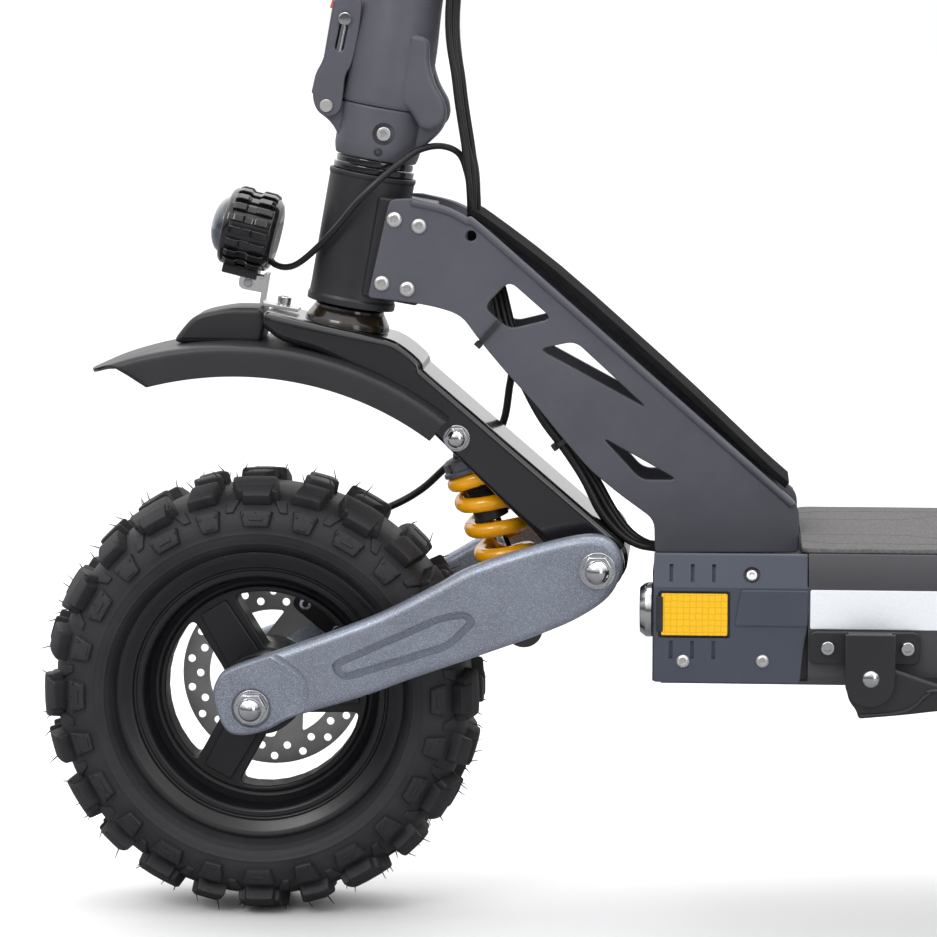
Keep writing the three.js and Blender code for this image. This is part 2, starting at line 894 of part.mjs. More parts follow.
// ---------- swing arms, wheels and shock absorbers ----------
// One sprung wheel in its own frame: the axle at the origin and the arm's pivot towards +X.
function sprungWheel(end, isMotor) {
  const unit = new THREE.Group();
  const pivot = [pivotBehind, pivotRise];
  const shockTop = [shockTopBehind, shockTopRise];
  const shockFoot = [shockFootBehind, shockFootRise];
  const armShape = () =>
    smoothShape(
      [
        [-24.5, 5],
        [-16, 23.5],
        [7, 33],
        [pivot[0] * 0.375, pivot[1] * 0.68],
        [pivot[0] * 0.62, pivot[1]],
        [pivot[0] * 0.81, pivot[1] + 14],
        [pivot[0] - 3, pivot[1] + 21],
        [pivot[0] + 11, pivot[1] + 15],
        [pivot[0] + 15, pivot[1] + 2],
        [pivot[0] + 8, pivot[1] - 17],
        [shockFoot[0] + 12, shockFoot[1] - 2],
        [shockFoot[0] - 23, shockFoot[1] - 14.5],
        [pivot[0] * 0.32, 6],
        [27, -6],
        [5, -16.5],
        [-12, -17],
      ],
      36,
    );
  const axleHole = bar([0, -armOuter - 1, 0], [0, armOuter + 1, 0], axleRadius + seat, 18);
  const pivotBolt = bar(
    [pivot[0], -armOuter + 1, pivot[1]],
    [pivot[0], armOuter - 1, pivot[1]],
    pivotBoltRadius,
    16,
  );
  const pivotHole = bar(
    [pivot[0], armInner - 5, pivot[1]],
    [pivot[0], armOuter + 5, pivot[1]],
    pivotBoltRadius + seat,
    16,
  );
  const bridge = turnedY(
    [
      [0, -armInner + seat],
      [bridgeRadius, -armInner + seat],
      [bridgeRadius, -13],
      [shockPinRadius, -13],
      [shockPinRadius, 13],
      [bridgeRadius, 13],
      [bridgeRadius, armInner + 2],
      [0, armInner + 2],
    ],
    16,
  ).translate(shockFoot[0], 0, shockFoot[1]);
  place(
    unit,
    end + "_arm_left",
    "blueGrey",
    join(
      cut(alongY(armShape(), -armOuter, -armInner), axleHole),
      pivotBolt,
      domeNut(...pivot, -armOuter + 1, -11, 20),
    ),
  );
  place(
    unit,
    end + "_arm_right",
    "blueGrey",
    join(cut(alongY(armShape(), armInner, armOuter), axleHole, pivotHole), bridge),
  );

  const spacerRadius = 13;
  const hubFace = 30;
  place(
    unit,
    end + "_axle",
    "steel",
    join(
      bar([0, -armOuter - 1, 0], [0, armOuter + 1, 0], axleRadius, 18),
      bar([0, hubFace + running, 0], [0, armInner - seat, 0], spacerRadius, 20),
      bar([0, -armInner + seat, 0], [0, -hubFace - running, 0], spacerRadius, 20),
      domeNut(0, 0, -armOuter - seat, -9, 20),
      domeNut(0, 0, armOuter + seat, 9, 20),
    ),
  );

  // The wheel: a rim with three spokes, or a hub motor. It is turned by half a facet, so that a
  // flat facet of the tyre meets the ground, and the spokes are turned back.
  const wheelFacets = 36;
  const halfFacet = Math.PI / wheelFacets;
  const wheel = new THREE.Group();
  wheel.rotation.y = halfFacet;
  unit.add(wheel);
  const half = rimWidth / 2;
  const beadSeat = rimRadius - beadDepth;
  const barrel = turnedY(
    [
      [rimRadius, -half],
      [rimRadius, -half + 2.2],
      [beadSeat, -half + 2.5],
      [beadSeat, half - 2.5],
      [rimRadius, half - 2.2],
      [rimRadius, half],
      [rimRadius - 11, half],
      [rimOpening + 5, half - 6],
      [rimOpening, half - 12],
      [rimOpening, 12 - half],
      [rimOpening + 5, 6 - half],
      [rimRadius - 11, -half],
      [rimRadius, -half],
    ],
    wheelFacets,
  );
  const discFace = discOffset - discThickness / 2 - seat;
  const hub = turnedY(
    [
      [0, -hubFace],
      [hubRadius, -hubFace],
      [hubRadius, discFace],
      [0, discFace],
    ],
    24,
  );
  const bore = turnedY(
    [
      [0, -hubFace - 1],
      [axleRadius + running, -hubFace - 1],
      [axleRadius + running, hubFace],
      [spacerRadius + running, hubFace],
      [spacerRadius + running, discFace + 1],
      [0, discFace + 1],
    ],
    24,
  );
  const spokeHalfWidth = 14;
  const spoke = (angle) =>
    box(hubRadius - 6, rimOpening + 4, -15, 15, -spokeHalfWidth, spokeHalfWidth).rotateY(angle);
  const motorShell = turnedY(
    [
      [0, -hubFace],
      [hubRadius + 14, -hubFace],
      [rimOpening + 3, 10 - half],
      [rimOpening + 3, half - 10],
      [hubRadius + 14, hubFace],
      [0, hubFace],
    ],
    24,
  );
  const middle = isMotor ? [motorShell] : [0, 120, 240].map((angle) => spoke(-angle * degrees - halfFacet));
  place(
    wheel,
    isMotor ? end + "_hub_motor" : end + "_rim",
    "blackSatin",
    cut(join(barrel, hub, ...middle), bore),
  );

  const bulge = tyreWidth / 2;
  const shoulder = treadWidth / 2;
  const bead = half - 2.5 - seat;
  const wallMiddle = (rimRadius + wheelRadius) / 2 + 3;
  place(
    wheel,
    end + "_tyre",
    "rubber",
    turnedY(
      [
        [beadSeat + seat, -bead],
        [rimRadius + 2, -bead],
        [wallMiddle, -bulge],
        [wheelRadius - 8, -bulge + 3],
        [wheelRadius, -shoulder],
        [wheelRadius, shoulder],
        [wheelRadius - 8, bulge - 3],
        [wallMiddle, bulge],
        [rimRadius + 2, bead],
        [beadSeat + seat, bead],
        [beadSeat + seat, bead - 7],
        [wallMiddle, bulge - tyreWall],
        [wheelRadius - tyreWall - 2, shoulder - 4],
        [wheelRadius - tyreWall - 2, -shoulder + 4],
        [wallMiddle, -bulge + tyreWall],
        [beadSeat + seat, -bead + 7],
        [beadSeat + seat, -bead],
      ],
      wheelFacets,
    ),
  );
  place(
    wheel,
    end + "_brake_disc",
    "steel",
    turnedY(
      ringProfile(
        spacerRadius + running + 1,
        discRadius,
        discOffset - discThickness / 2,
        discOffset + discThickness / 2,
      ),
      28,
    ),
  );

  // Brake caliper over the disc's edge, on the right-hand arm, and the lever that its cable pulls.
  const caliperAngle = -50 * degrees;
  const caliperInner = half + 3;
  const caliperOuter = armInner - seat;
  const discSlot = discThickness / 2 + 1;
  place(
    unit,
    end + "_caliper",
    "blackSatin",
    cut(
      alongY(
        roundedShape([[44, -22], [44, 22], [82, 20], [82, -20]], 6),
        caliperInner,
        caliperOuter,
      ),
      box(0, discRadius + 2, discOffset - discSlot, discOffset + discSlot, -40, 40),
    ).rotateY(caliperAngle),
  );
  const leverFrom = armInner + seat;
  const caliperLeverPivot = [
    76 * Math.cos(-caliperAngle),
    76 * Math.sin(-caliperAngle) + 6,
  ];
  place(
    unit,
    end + "_caliper_arm",
    "steel",
    alongY(
      smoothShape(
        [
          [caliperLeverPivot[0] + 8, caliperLeverPivot[1] - 3],
          [caliperLeverPivot[0] + 3, caliperLeverPivot[1] + 8],
          [caliperLeverPivot[0] - 18, caliperLeverPivot[1] + 26],
          [caliperLeverPivot[0] - 25, caliperLeverPivot[1] + 21],
          [caliperLeverPivot[0] - 8, caliperLeverPivot[1] - 2],
          [caliperLeverPivot[0] + 1, caliperLeverPivot[1] - 8],
        ],
        18,
      ),
      leverFrom,
      leverFrom + 4,
    ),
  );

  // Shock absorber: body and upper eye, spring, and rod with its lower eye, along its own line.
  const line = new THREE.Vector2(shockFoot[0] - shockTop[0], shockFoot[1] - shockTop[1]);
  const reach = line.length();
  const shock = new THREE.Group();
  shock.position.set(shockTop[0], 0, shockTop[1]);
  shock.rotation.y = -Math.atan2(line.x, -line.y);
  unit.add(shock);
  const eyeRadius = 11;
  const eyeHalfWidth = 11;
  const springTop = -(reach - springLength) / 2 + 4;
  const springFoot = springTop - springLength;
  const bodyRadius = 11;
  const rodRadius = 5;
  const eye = (z, boreRadius) =>
    cut(
      bar([0, -eyeHalfWidth, z], [0, eyeHalfWidth, z], eyeRadius, 18),
      bar([0, -eyeHalfWidth - 1, z], [0, eyeHalfWidth + 1, z], boreRadius, 16),
    );
  const topEye = eye(0, shockPinRadius + running);
  const bodyTube = bar([0, 0, -eyeRadius + 1], [0, 0, springTop - 34], bodyRadius, 20);
  const preloadRing = bar([0, 0, springTop + 9], [0, 0, springTop + seat], springRadius - 2, 24);
  const rodBore = bar([0, 0, springTop - 8], [0, 0, springTop - 35], rodRadius + running, 14);
  place(
    shock,
    end + "_shock_body",
    "blackSatin",
    cut(join(topEye, bodyTube, preloadRing), rodBore),
  );
  const springBore = bodyRadius + running;
  place(
    shock,
    end + "_spring",
    "spring",
    turnedZ(ringProfile(springBore, springRadius, springFoot + seat, springTop - seat), 24),
  );
  const footEye = eye(-reach, shockPinRadius + shockFootSlack);
  const springCup = bar([0, 0, springFoot], [0, 0, springFoot - 6], springRadius - 1, 24);
  const rodTop = springTop - 26;
  place(
    shock,
    end + "_shock_rod",
    "steel",
    join(
      bar([0, 0, rodTop], [0, 0, springFoot - 3], rodRadius, 14),
      springCup,
      bar([0, 0, springFoot - 4], [0, 0, -reach + eyeRadius - 2], 7, 14),
      footEye,
    ),
  );
  return unit;
}

const frontUnit = sprungWheel("front", false);
frontUnit.position.set(0, 0, wheelRadius);
model.add(frontUnit);
const rearUnit = sprungWheel("rear", true);
rearUnit.position.set(wheelbase, 0, wheelRadius);
rearUnit.rotation.z = Math.PI;
model.add(rearUnit);

// ---------- rear mount ----------
// A steel bracket on the deck's tail, the same channel as the fork's leg, leaning over the rear wheel.
const rearPivot = [wheelbase - pivotBehind, pivotHeight];
const rearLegTop = [wheelbase - 92, 2 * wheelRadius + 68];
const rearShockTop = [wheelbase - shockTopBehind, wheelRadius + shockTopRise];
const rearLeg = channelLeg(rearLegTop, rearPivot);
const mountPlate = 8;
const rearMountFoot = deckFloor + 12;
const mountWeb = alongY(
  roundedShape([
    [deckRear + seat, rearMountFoot],
    [deckRear + seat, deckTop - 12],
    [rearPivot[0] + 12, rearPivot[1] + 12],
    [rearPivot[0] + 6, rearPivot[1] - 14],
  ]),
  -crownHalfWidth,
  crownHalfWidth,
);
place(
  model,
  "rear_mount",
  "blackGloss",
  join(
    cut(
      join(
        rearLeg.outside,
        rearLeg.tube,
        mountWeb,
        box(
          deckRear + seat,
          deckRear + seat + mountPlate,
          -sideFace + 8,
          sideFace - 8,
          deckFloor + 4,
          deckTop - 4,
        ),
      ),
      rearLeg.cavity,
      rearLeg.bore,
    ),
    shockTopPin(...rearShockTop),
    domeNut(...rearShockTop, -crownHalfWidth + 1, -10, 15),
    domeNut(...rearShockTop, crownHalfWidth - 1, 10, 15),
  ),
);

const rearFenderArc = fenderShell(-34 * degrees, 52 * degrees).translate(wheelbase, 0, wheelRadius);
const rearLegRoom = alongY(
  roundedShape([
    [rearPivot[0] - 10, rearPivot[1]],
    [rearLegTop[0] - 40, rearLegTop[1] + 60],
    [rearLegTop[0] + 40, rearLegTop[1] + 60],
    [rearLegTop[0] + 14, rearLegTop[1] - 14],
    [rearLegTop[0] - 12, rearLegTop[1] - 34],
    [rearPivot[0] + 40, rearPivot[1]],
  ]),
  -crownHalfWidth - 1,
  crownHalfWidth + 1,
);
place(model, "rear_fender", "blackMatte", cut(rearFenderArc, rearLegRoom));
const tailAngle = 47 * degrees;
const tailRadius = wheelRadius + fenderAboveTyre + 3;
place(
  model,
  "tail_light",
  "red",
  alongZ(roundedShape([[-9, -30], [9, -30], [9, 30], [-9, 30]], 8), 0, 9)
    .rotateY(tailAngle)
    .translate(
      wheelbase + tailRadius * Math.sin(tailAngle),
      0,
      wheelRadius + tailRadius * Math.cos(tailAngle),
    ),
);

// ---------- neck ----------
// Two side plates carry the head tube on the deck's front platform.
const seatLine = platformTop + seat;
const upperEdge = [[16, 13], [30, 9.5], [50, 11], [67, 15], [78, 19.5]]
  .map(([back, drop]) => fromHead([back, headLength - drop]));
const lowerEdge = [[87, -5], [73, 8], [58, 11], [12, 9]].map(fromHead);
const neckFoot = [deckFront + 90, deckFront - 1.2];
const neckBelly = [
  [neckFoot[1], platformTop + 20],
  [neckFoot[1] - 21, platformTop + 36],
  [neckFoot[1] - 40, platformTop + 52],
  [neckFoot[1] - 59, platformTop + 74],
  [neckFoot[1] - 75, platformTop + 94],
  [neckFoot[1] - 93, platformTop + 113],
];
const neckOutline = [
  ...upperEdge,
  [neckFoot[0], platformTop + 31],
  [neckFoot[0], seatLine],
  [neckFoot[1], seatLine],
  ...neckBelly,
  ...lowerEdge,
];
// The upper edge's straight run, and places measured from its upper end.
const rolledStart = point2(upperEdge.at(-1));
const rolledEnd = point2([neckFoot[0], platformTop + 31]);
const alongRoll = rolledEnd.clone().sub(rolledStart).normalize();
const belowRoll = new THREE.Vector2(alongRoll.y, -alongRoll.x);
const neckSpot = (distance, depth) => {
  const p = rolledStart
    .clone()
    .addScaledVector(alongRoll, distance)
    .addScaledVector(belowRoll, depth);
  return [p.x, p.y];
};
const rollLength = rolledEnd.distanceTo(rolledStart);
// Three windows, each [along the roll, below it], and a round hole near the roll's upper end.
const windows = [
  [[33, 15], [69, 15], [53, 38], [32, 38]],
  [[75, 35], [89, 16], [151, 17.5]],
  [[141.5, 50], [195, 38.5], [178, 54]],
];
const windowCorner = 4;
const windowTools = windows.map((corners) =>
  alongY(roundedShape(corners.map((spot) => neckSpot(...spot)), windowCorner, 2), -sideFace, sideFace),
);
const [holeX, holeZ] = neckSpot(-3.5, 9.8);
windowTools.push(bar([holeX, -sideFace, holeZ], [holeX, sideFace, holeZ], 3.3, 12));
for (const [name, side] of [["neck_plate_left", -1], ["neck_plate_right", 1]]) {
  const plate = alongY(
    roundedShape(neckOutline),
    Math.min(side * plateInner, side * plateOuter),
    Math.max(side * plateInner, side * plateOuter),
  );
  place(model, name, "greyCast", cut(plate, ...windowTools));
}

const coverLift = 5;
const coverHalfWidth = plateInner - seat;
place(
  model,
  "neck_cover",
  "slate",
  alongY(
    roundedShape([
      neckSpot(-6, -coverLift),
      neckSpot(rollLength - 6, -coverLift),
      neckSpot(rollLength - 6, -coverLift + 3),
      neckSpot(-6, -coverLift + 3),
    ]),
    -coverHalfWidth,
    coverHalfWidth,
  ),
);

// ---------- deck ----------
const lowerChamfer = 6;
const slopeFoot = deckTop - 20;
const slopeTopWidth = sideFace - 8;
const hullSection = (inset) => [
  [-sideFace + inset, deckFloor + lowerChamfer],
  [-sideFace + inset, slopeFoot],
  [-slopeTopWidth + inset, deckTop - inset],
  [slopeTopWidth - inset, deckTop - inset],
  [sideFace - inset, slopeFoot],
  [sideFace - inset, deckFloor + lowerChamfer],
  [sideFace - lowerChamfer - inset / 2, deckFloor + inset],
  [-sideFace + lowerChamfer + inset / 2, deckFloor + inset],
];
const hull = alongX(roundedShape(hullSection(0)), deckFront + 5, deckRear);
const coverPocket = (side) =>
  sideBox(
    side,
    deckFront - 1,
    platformEnd,
    sideFace - coverThickness,
    sideFace + 5,
    deckFloor + 3,
    deckTop + 1,
  );
const hollowTop = platformTop - deckWall;
const hollowHalf = sideFace - coverThickness - deckWall;
place(
  model,
  "deck_shell",
  "blackSatin",
  cut(
    hull,
    coverPocket(-1),
    coverPocket(1),
    box(deckFront - 1, platformEnd, -sideFace, sideFace, platformTop, deckTop + 1),
    box(deckFront - 1, deckRear + 1, -hollowHalf, hollowHalf, deckFloor + deckWall, hollowTop),
  ),
);
place(
  model,
  "deck_front_plate",
  "blackSatin",
  box(
    deckFront,
    deckFront + 5 - seat,
    -sideFace + coverThickness,
    sideFace - coverThickness,
    deckFloor + 1,
    platformTop - seat,
  ),
);
place(
  model,
  "deck_mat",
  "mat",
  alongZ(
    roundedShape(
      [
        [platformEnd - 4, -slopeTopWidth + 2],
        [deckRear - 8, -slopeTopWidth + 2],
        [deckRear - 8, slopeTopWidth - 2],
        [platformEnd - 4, slopeTopWidth - 2],
      ],
      14,
      4,
    ),
    deckTop + seat,
    deckTop + seat + matThickness,
  ),
);
for (const [name, side] of [["side_cover_left", -1], ["side_cover_right", 1]]) {
  const faces = [side * (sideFace - coverThickness + seat), side * sideFace];
  place(
    model,
    name,
    "slate",
    alongY(
      roundedShape(
        [
          [deckFront + 0.5, deckFloor + 4],
          [deckFront + 0.5, platformTop + 6],
          [platformEnd - seat - 1, platformTop + 8],
          [platformEnd - 12, deckFloor + 4],
        ],
        3,
        2,
      ),
      Math.min(...faces),
      Math.max(...faces),
    ),
  );
}
const controllerLength = 110;
const packStart = deckFront + 14 + controllerLength + 6;
place(
  model,
  "controller",
  "steel",
  box(deckFront + 14, deckFront + 14 + controllerLength, -62, 62, deckFloor + deckWall + 1, hollowTop - 18),
);
place(
  model,
  "battery_pack",
  "blue",
  box(
    packStart,
    deckRear - 12,
    -hollowHalf + 4,
    hollowHalf - 4,
    deckFloor + deckWall + 1,
    hollowTop - 1,
  ),
);

// The horn hangs on the front plate, low on the left.
const hornPlace = { y: -72, z: (platformTop + deckFloor) / 2 + 6, radius: 17 };
place(
  model,
  "horn",
  "blackGloss",
  turnedY([[0, -8], [hornPlace.radius - 3, -8], [hornPlace.radius, -4], [hornPlace.radius, 0], [0, 0]], 24)
    .rotateZ(-Math.PI / 2)
    .translate(deckFront - seat, hornPlace.y, hornPlace.z),
);

// ---------- kickstand ----------
const standPivot = { x: deckFront + 133, y: -sideFace - 7, z: deckFloor + 8 };
const bracketFace = -sideFace - seat;
const standPinRadius = 4;
place(
  model,
  "kick_bracket",
  "steel",
  join(
    box(
      standPivot.x - 31,
      standPivot.x + 31,
      bracketFace - 4,
      bracketFace,
      standPivot.z + 8,
      standPivot.z + 27,
    ),
    box(
      standPivot.x - 16,
      standPivot.x + 14,
      bracketFace - 4,
      bracketFace,
      standPivot.z - 8,
      standPivot.z + 10,
    ),
    bar(
      [standPivot.x, bracketFace - 2, standPivot.z],
      [standPivot.x, bracketFace - 15, standPivot.z],
      standPinRadius,
      14,
    ),
    bar(
      [standPivot.x, bracketFace - 13, standPivot.z],
      [standPivot.x, bracketFace - 16, standPivot.z],
      8,
      14,
    ),
  ),
);
const standReach = 160;
const standSplay = 10;
const standEye = [bracketFace - 12.5, bracketFace - 4.5];
const standLine = standPivot.z - 15;
const standLegRadius = 6.5;
const standLegMiddle = standEye[1] - standLegRadius;
place(
  model,
  "kickstand",
  "blackSatin",
  join(
    cut(
      alongY(
        roundedShape(
          [
            [standPivot.x - 10, standPivot.z + 9],
            [standPivot.x + 9, standPivot.z + 9],
            [standPivot.x + 16, standLine + 8],
            [standPivot.x + 16, standLine - 7],
            [standPivot.x - 8, standLine - 7],
          ],
          4,
          2,
        ),
        standEye[0],
        standEye[1],
      ),
      bar(
        [standPivot.x, standEye[0] - 1, standPivot.z],
        [standPivot.x, standEye[1] + 1, standPivot.z],
        standPinRadius + running,
        14,
      ),
    ),
    cable(
      [
        [standPivot.x + 4, standLegMiddle, standLine],
        [standPivot.x + 60, standLegMiddle - standSplay / 3, standLine],
        [standPivot.x + standReach, standLegMiddle - standSplay, standLine + 2],
      ],
      standLegRadius,
      4,
      12,
    ),
  ),
);

// ---------- charging port's cap, on the right ----------
const capPlace = { x: deckFront + 190, z: (deckFloor + slopeFoot) / 2 + 8, radius: 13 };
place(
  model,
  "charge_cap",
  "rubber",
  join(
    bar(
      [capPlace.x, sideFace + seat, capPlace.z],
      [capPlace.x, sideFace + seat + 4, capPlace.z],
      capPlace.radius,
      20,
    ),
    box(
      capPlace.x - 5,
      capPlace.x + 5,
      sideFace + seat,
      sideFace + seat + 4,
      capPlace.z + capPlace.radius - 2,
      capPlace.z + capPlace.radius + 5,
    ),
  ),
);

// ---------- cables ----------
// Routes are chosen by hand. The stem's loom is tied to the stem; the neck's loom drops between
// the plates and out under them to the deck; the front brake's cable passes behind the fork.
place(
  head,
  "stem_cables",
  "blackMatte",
  cable(
    [
      [34, -24, barTop - 60],
      [34, -16, barTop - 130],
      [35, -8, barTop - 300],
      [34, -6, foldHeight + 180],
      [34, -6, foldHeight + 74],
      [44, -8, foldHeight + 24],
      [56, -8, foldHeight - 20],
      [66, -4, headLength - 2],
    ],
    2 * cableRadius,
    26,
  ),
);
place(
  model,
  "neck_cables",
  "blackMatte",
  cable(
    [
      [139, 0, 430],
      [148, 0, 402],
      [158, 0, 370],
      [176, 0, 337],
      [194, 0, 312],
      [212, -2, 286],
      [228, -6, 262],
      [243, -10, 250],
      [262, -12, 247],
    ],
    2 * cableRadius,
    18,
  ),
);
place(
  model,
  "front_brake_cable",
  "blackMatte",
  cable(
    [
      [38, 57, wheelRadius + 96],
      [52, 58, wheelRadius + 102],
      [76, 55, wheelRadius + 110],
      [97, 54, wheelRadius + 122],
      [118, 50, wheelRadius + 141],
      [148, 43, wheelRadius + 162],
      [156, 40, wheelRadius + 196],
    ],
    cableRadius,
    18,
    6,
  ),
);

// ---------- the finished group stands centred over its own box ----------
scooter.updateMatrixWorld(true);
const bounds = new THREE.Box3().setFromObject(scooter, true);
const middle = bounds.getCenter(new THREE.Vector3());
model.position.set(-middle.x, -middle.y, -bounds.min.z);

export default scooter;
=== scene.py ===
"""Electric kick scooter: the visual model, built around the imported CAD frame.

Every maker below models its piece in millimetres, in the local frame of the unit that the piece
belongs to, and settle() brings it to metres and to its place in the CAD model's frame.
"""
import math
import random

import bpy
from mathutils import Matrix, Vector


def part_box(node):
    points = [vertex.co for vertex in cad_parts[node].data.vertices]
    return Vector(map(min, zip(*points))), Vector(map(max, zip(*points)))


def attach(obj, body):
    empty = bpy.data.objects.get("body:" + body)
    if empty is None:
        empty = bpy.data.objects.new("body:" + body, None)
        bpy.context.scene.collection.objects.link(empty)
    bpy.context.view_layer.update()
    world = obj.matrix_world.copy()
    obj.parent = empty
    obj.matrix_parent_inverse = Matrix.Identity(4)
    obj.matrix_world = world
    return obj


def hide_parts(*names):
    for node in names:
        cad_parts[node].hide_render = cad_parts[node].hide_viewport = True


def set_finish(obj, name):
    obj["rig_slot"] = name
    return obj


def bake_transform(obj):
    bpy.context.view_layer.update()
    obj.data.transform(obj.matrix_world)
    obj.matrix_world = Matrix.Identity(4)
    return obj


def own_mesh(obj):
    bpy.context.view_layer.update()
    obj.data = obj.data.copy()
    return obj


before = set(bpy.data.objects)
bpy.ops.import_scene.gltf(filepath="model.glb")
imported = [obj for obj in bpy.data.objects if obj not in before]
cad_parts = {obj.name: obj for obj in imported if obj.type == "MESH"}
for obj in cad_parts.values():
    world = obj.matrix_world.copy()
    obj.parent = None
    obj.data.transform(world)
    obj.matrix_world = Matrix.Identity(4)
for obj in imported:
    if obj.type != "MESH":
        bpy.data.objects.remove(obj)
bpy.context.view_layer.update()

bl_info = {
    "name": "Electric Kick Scooter",
    "version": (1, 0, 0),
    "blender": (4, 5, 0),
    "location": "View3D > Sidebar > Scooter",
    "description": "Models an electric kick scooter piece by piece around its CAD frame",
    "category": "Add Mesh",
}

DEG = math.pi / 180
MM = 0.001

# ---------- sizes shared with the CAD model, in millimetres ----------
WHEEL_RADIUS = 142.5
PIVOT = (216.5, 89.4)  # arm pivot from the axle: towards the deck, and up
SHOCK_TOP = (126.0, 166.0)
SHOCK_FOOT = (170.0, 50.0)
ARM_INNER = 60.0
ARM_OUTER = 76.0
LEG_HALF_WIDTH = 32.0
LEG_RADIUS = 17.0
DISC_OFFSET = 45.0
RAKE = 10 * DEG
HEAD_FOOT = (56.0, 390.0)
PLATE_INNER = 28.0
PLATE_OUTER = 33.0
SIDE_FACE = 104.0
BAR_TOP = 858.0  # handlebar's middle, up the steering axis from the head tube's foot
BAR_HALF = 312.0
BAR_RADIUS = 11.1


def middle_of(node):
    low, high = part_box(node)
    return (low + high) / 2


def local_frame(origin, turn=Matrix.Identity(4)):
    """A unit's own frame: millimetres from an origin given in metres, turned."""
    return Matrix.Translation(origin) @ turn @ Matrix.Scale(MM, 4)


FRONT_AXLE = middle_of("front_axle")
REAR_AXLE = middle_of("rear_axle")
GROUND = local_frame(FRONT_AXLE - Vector((0, 0, WHEEL_RADIUS * MM)))
FRONT = local_frame(FRONT_AXLE)
REAR = local_frame(REAR_AXLE, Matrix.Rotation(math.pi, 4, "Z"))
HEAD = GROUND @ Matrix.Translation((HEAD_FOOT[0], 0, HEAD_FOOT[1])) @ Matrix.Rotation(RAKE, 4, "Y")
SHOCK_LEAN = math.atan2(SHOCK_FOOT[0] - SHOCK_TOP[0], SHOCK_TOP[1] - SHOCK_FOOT[1])
SHOCK_LENGTH = math.dist(SHOCK_TOP, SHOCK_FOOT)
SHOCK = Matrix.Translation((SHOCK_TOP[0], 0, SHOCK_TOP[1])) @ Matrix.Rotation(-SHOCK_LEAN, 4, "Y")
MIRROR = Matrix.Scale(-1, 4, (0, 1, 0))
FRONT_TO_REAR = REAR @ FRONT.inverted()


# ---------- lines and outlines ----------
def rounded(points, radius, steps=5):
    """A closed outline with its corners turned into arcs. radius is one size, or one per corner."""
    radii = radius if hasattr(radius, "__len__") else [radius] * len(points)
    outline = []
    for i, reach in enumerate(radii):
        corner = Vector(points[i])
        back = Vector(points[i - 1]) - corner
        on = Vector(points[(i + 1) % len(points)]) - corner
        reach = min(reach, back.length / 2.05, on.length / 2.05)
        if reach <= 0:
            outline.append(tuple(corner))
            continue
        start = corner + back.normalized() * reach
        end = corner + on.normalized() * reach
        for k in range(steps + 1):
            t = k / steps
            outline.append(tuple(start * (1 - t) ** 2 + corner * 2 * t * (1 - t) + end * t * t))
    return outline


def smooth(points, per_span=6, closed=False):
    """A smooth line through the points."""
    knots = [Vector(p) for p in points]
    count = len(knots)
    line = []
    for i in range(count if closed else count - 1):
        b = knots[i]
        c = knots[(i + 1) % count]
        a = knots[i - 1] if closed or i > 0 else b * 2 - c
        d = knots[(i + 2) % count] if closed or i + 2 < count else c * 2 - b
        for k in range(per_span):
            t = k / per_span
            bend = (a * 2 - b * 5 + c * 4 - d) * t * t + (b * 3 - a - c * 3 + d) * t**3
            line.append(tuple((b * 2 + (c - a) * t + bend) * 0.5))
    if not closed:
        line.append(tuple(knots[-1]))
    return line


def arc(radius, start, end, steps, centre=(0.0, 0.0)):
    """Points on an arc, its angles in degrees from the first axis."""
    angles = [(start + (end - start) * k / steps) * DEG for k in range(steps + 1)]
    return [(centre[0] + radius * math.cos(a), centre[1] + radius * math.sin(a)) for a in angles]


def circle(radius, steps=24, centre=(0.0, 0.0)):
    return arc(radius, 0, 360, steps, centre)[:-1]


# ---------- modelling ----------
def deselect():
    if bpy.context.mode != "OBJECT":
        bpy.ops.object.mode_set(mode="OBJECT")
    bpy.ops.object.select_all(action="DESELECT")


def only(piece):
    deselect()
    piece.select_set(True)
    bpy.context.view_layer.objects.active = piece
    return piece


def apply_modifier(piece, kind, **settings):
    only(piece)
    bpy.ops.object.modifier_add(type=kind)
    modifier = piece.modifiers[-1]
    for key, value in settings.items():
        setattr(modifier, key, value)
    bpy.ops.object.modifier_apply(modifier=modifier.name)
    return piece


def bevelled(piece, width, segments=2, angle=35):
    return apply_modifier(
        piece,
        "BEVEL",
        width=width,
        segments=segments,
        limit_method="ANGLE",
        angle_limit=angle * DEG,
        miter_outer="MITER_ARC",
    )


def moved(piece, matrix):
    piece.data.transform(matrix)
    if matrix.determinant() < 0:
        piece.data.flip_normals()
    return piece


AXES = {
    "Y": Matrix.Rotation(math.pi / 2, 4, "X"),
    "X": Matrix(((0, 0, 1, 0), (1, 0, 0, 0), (0, 1, 0, 0), (0, 0, 0, 1))),
    "Z": Matrix.Identity(4),
}


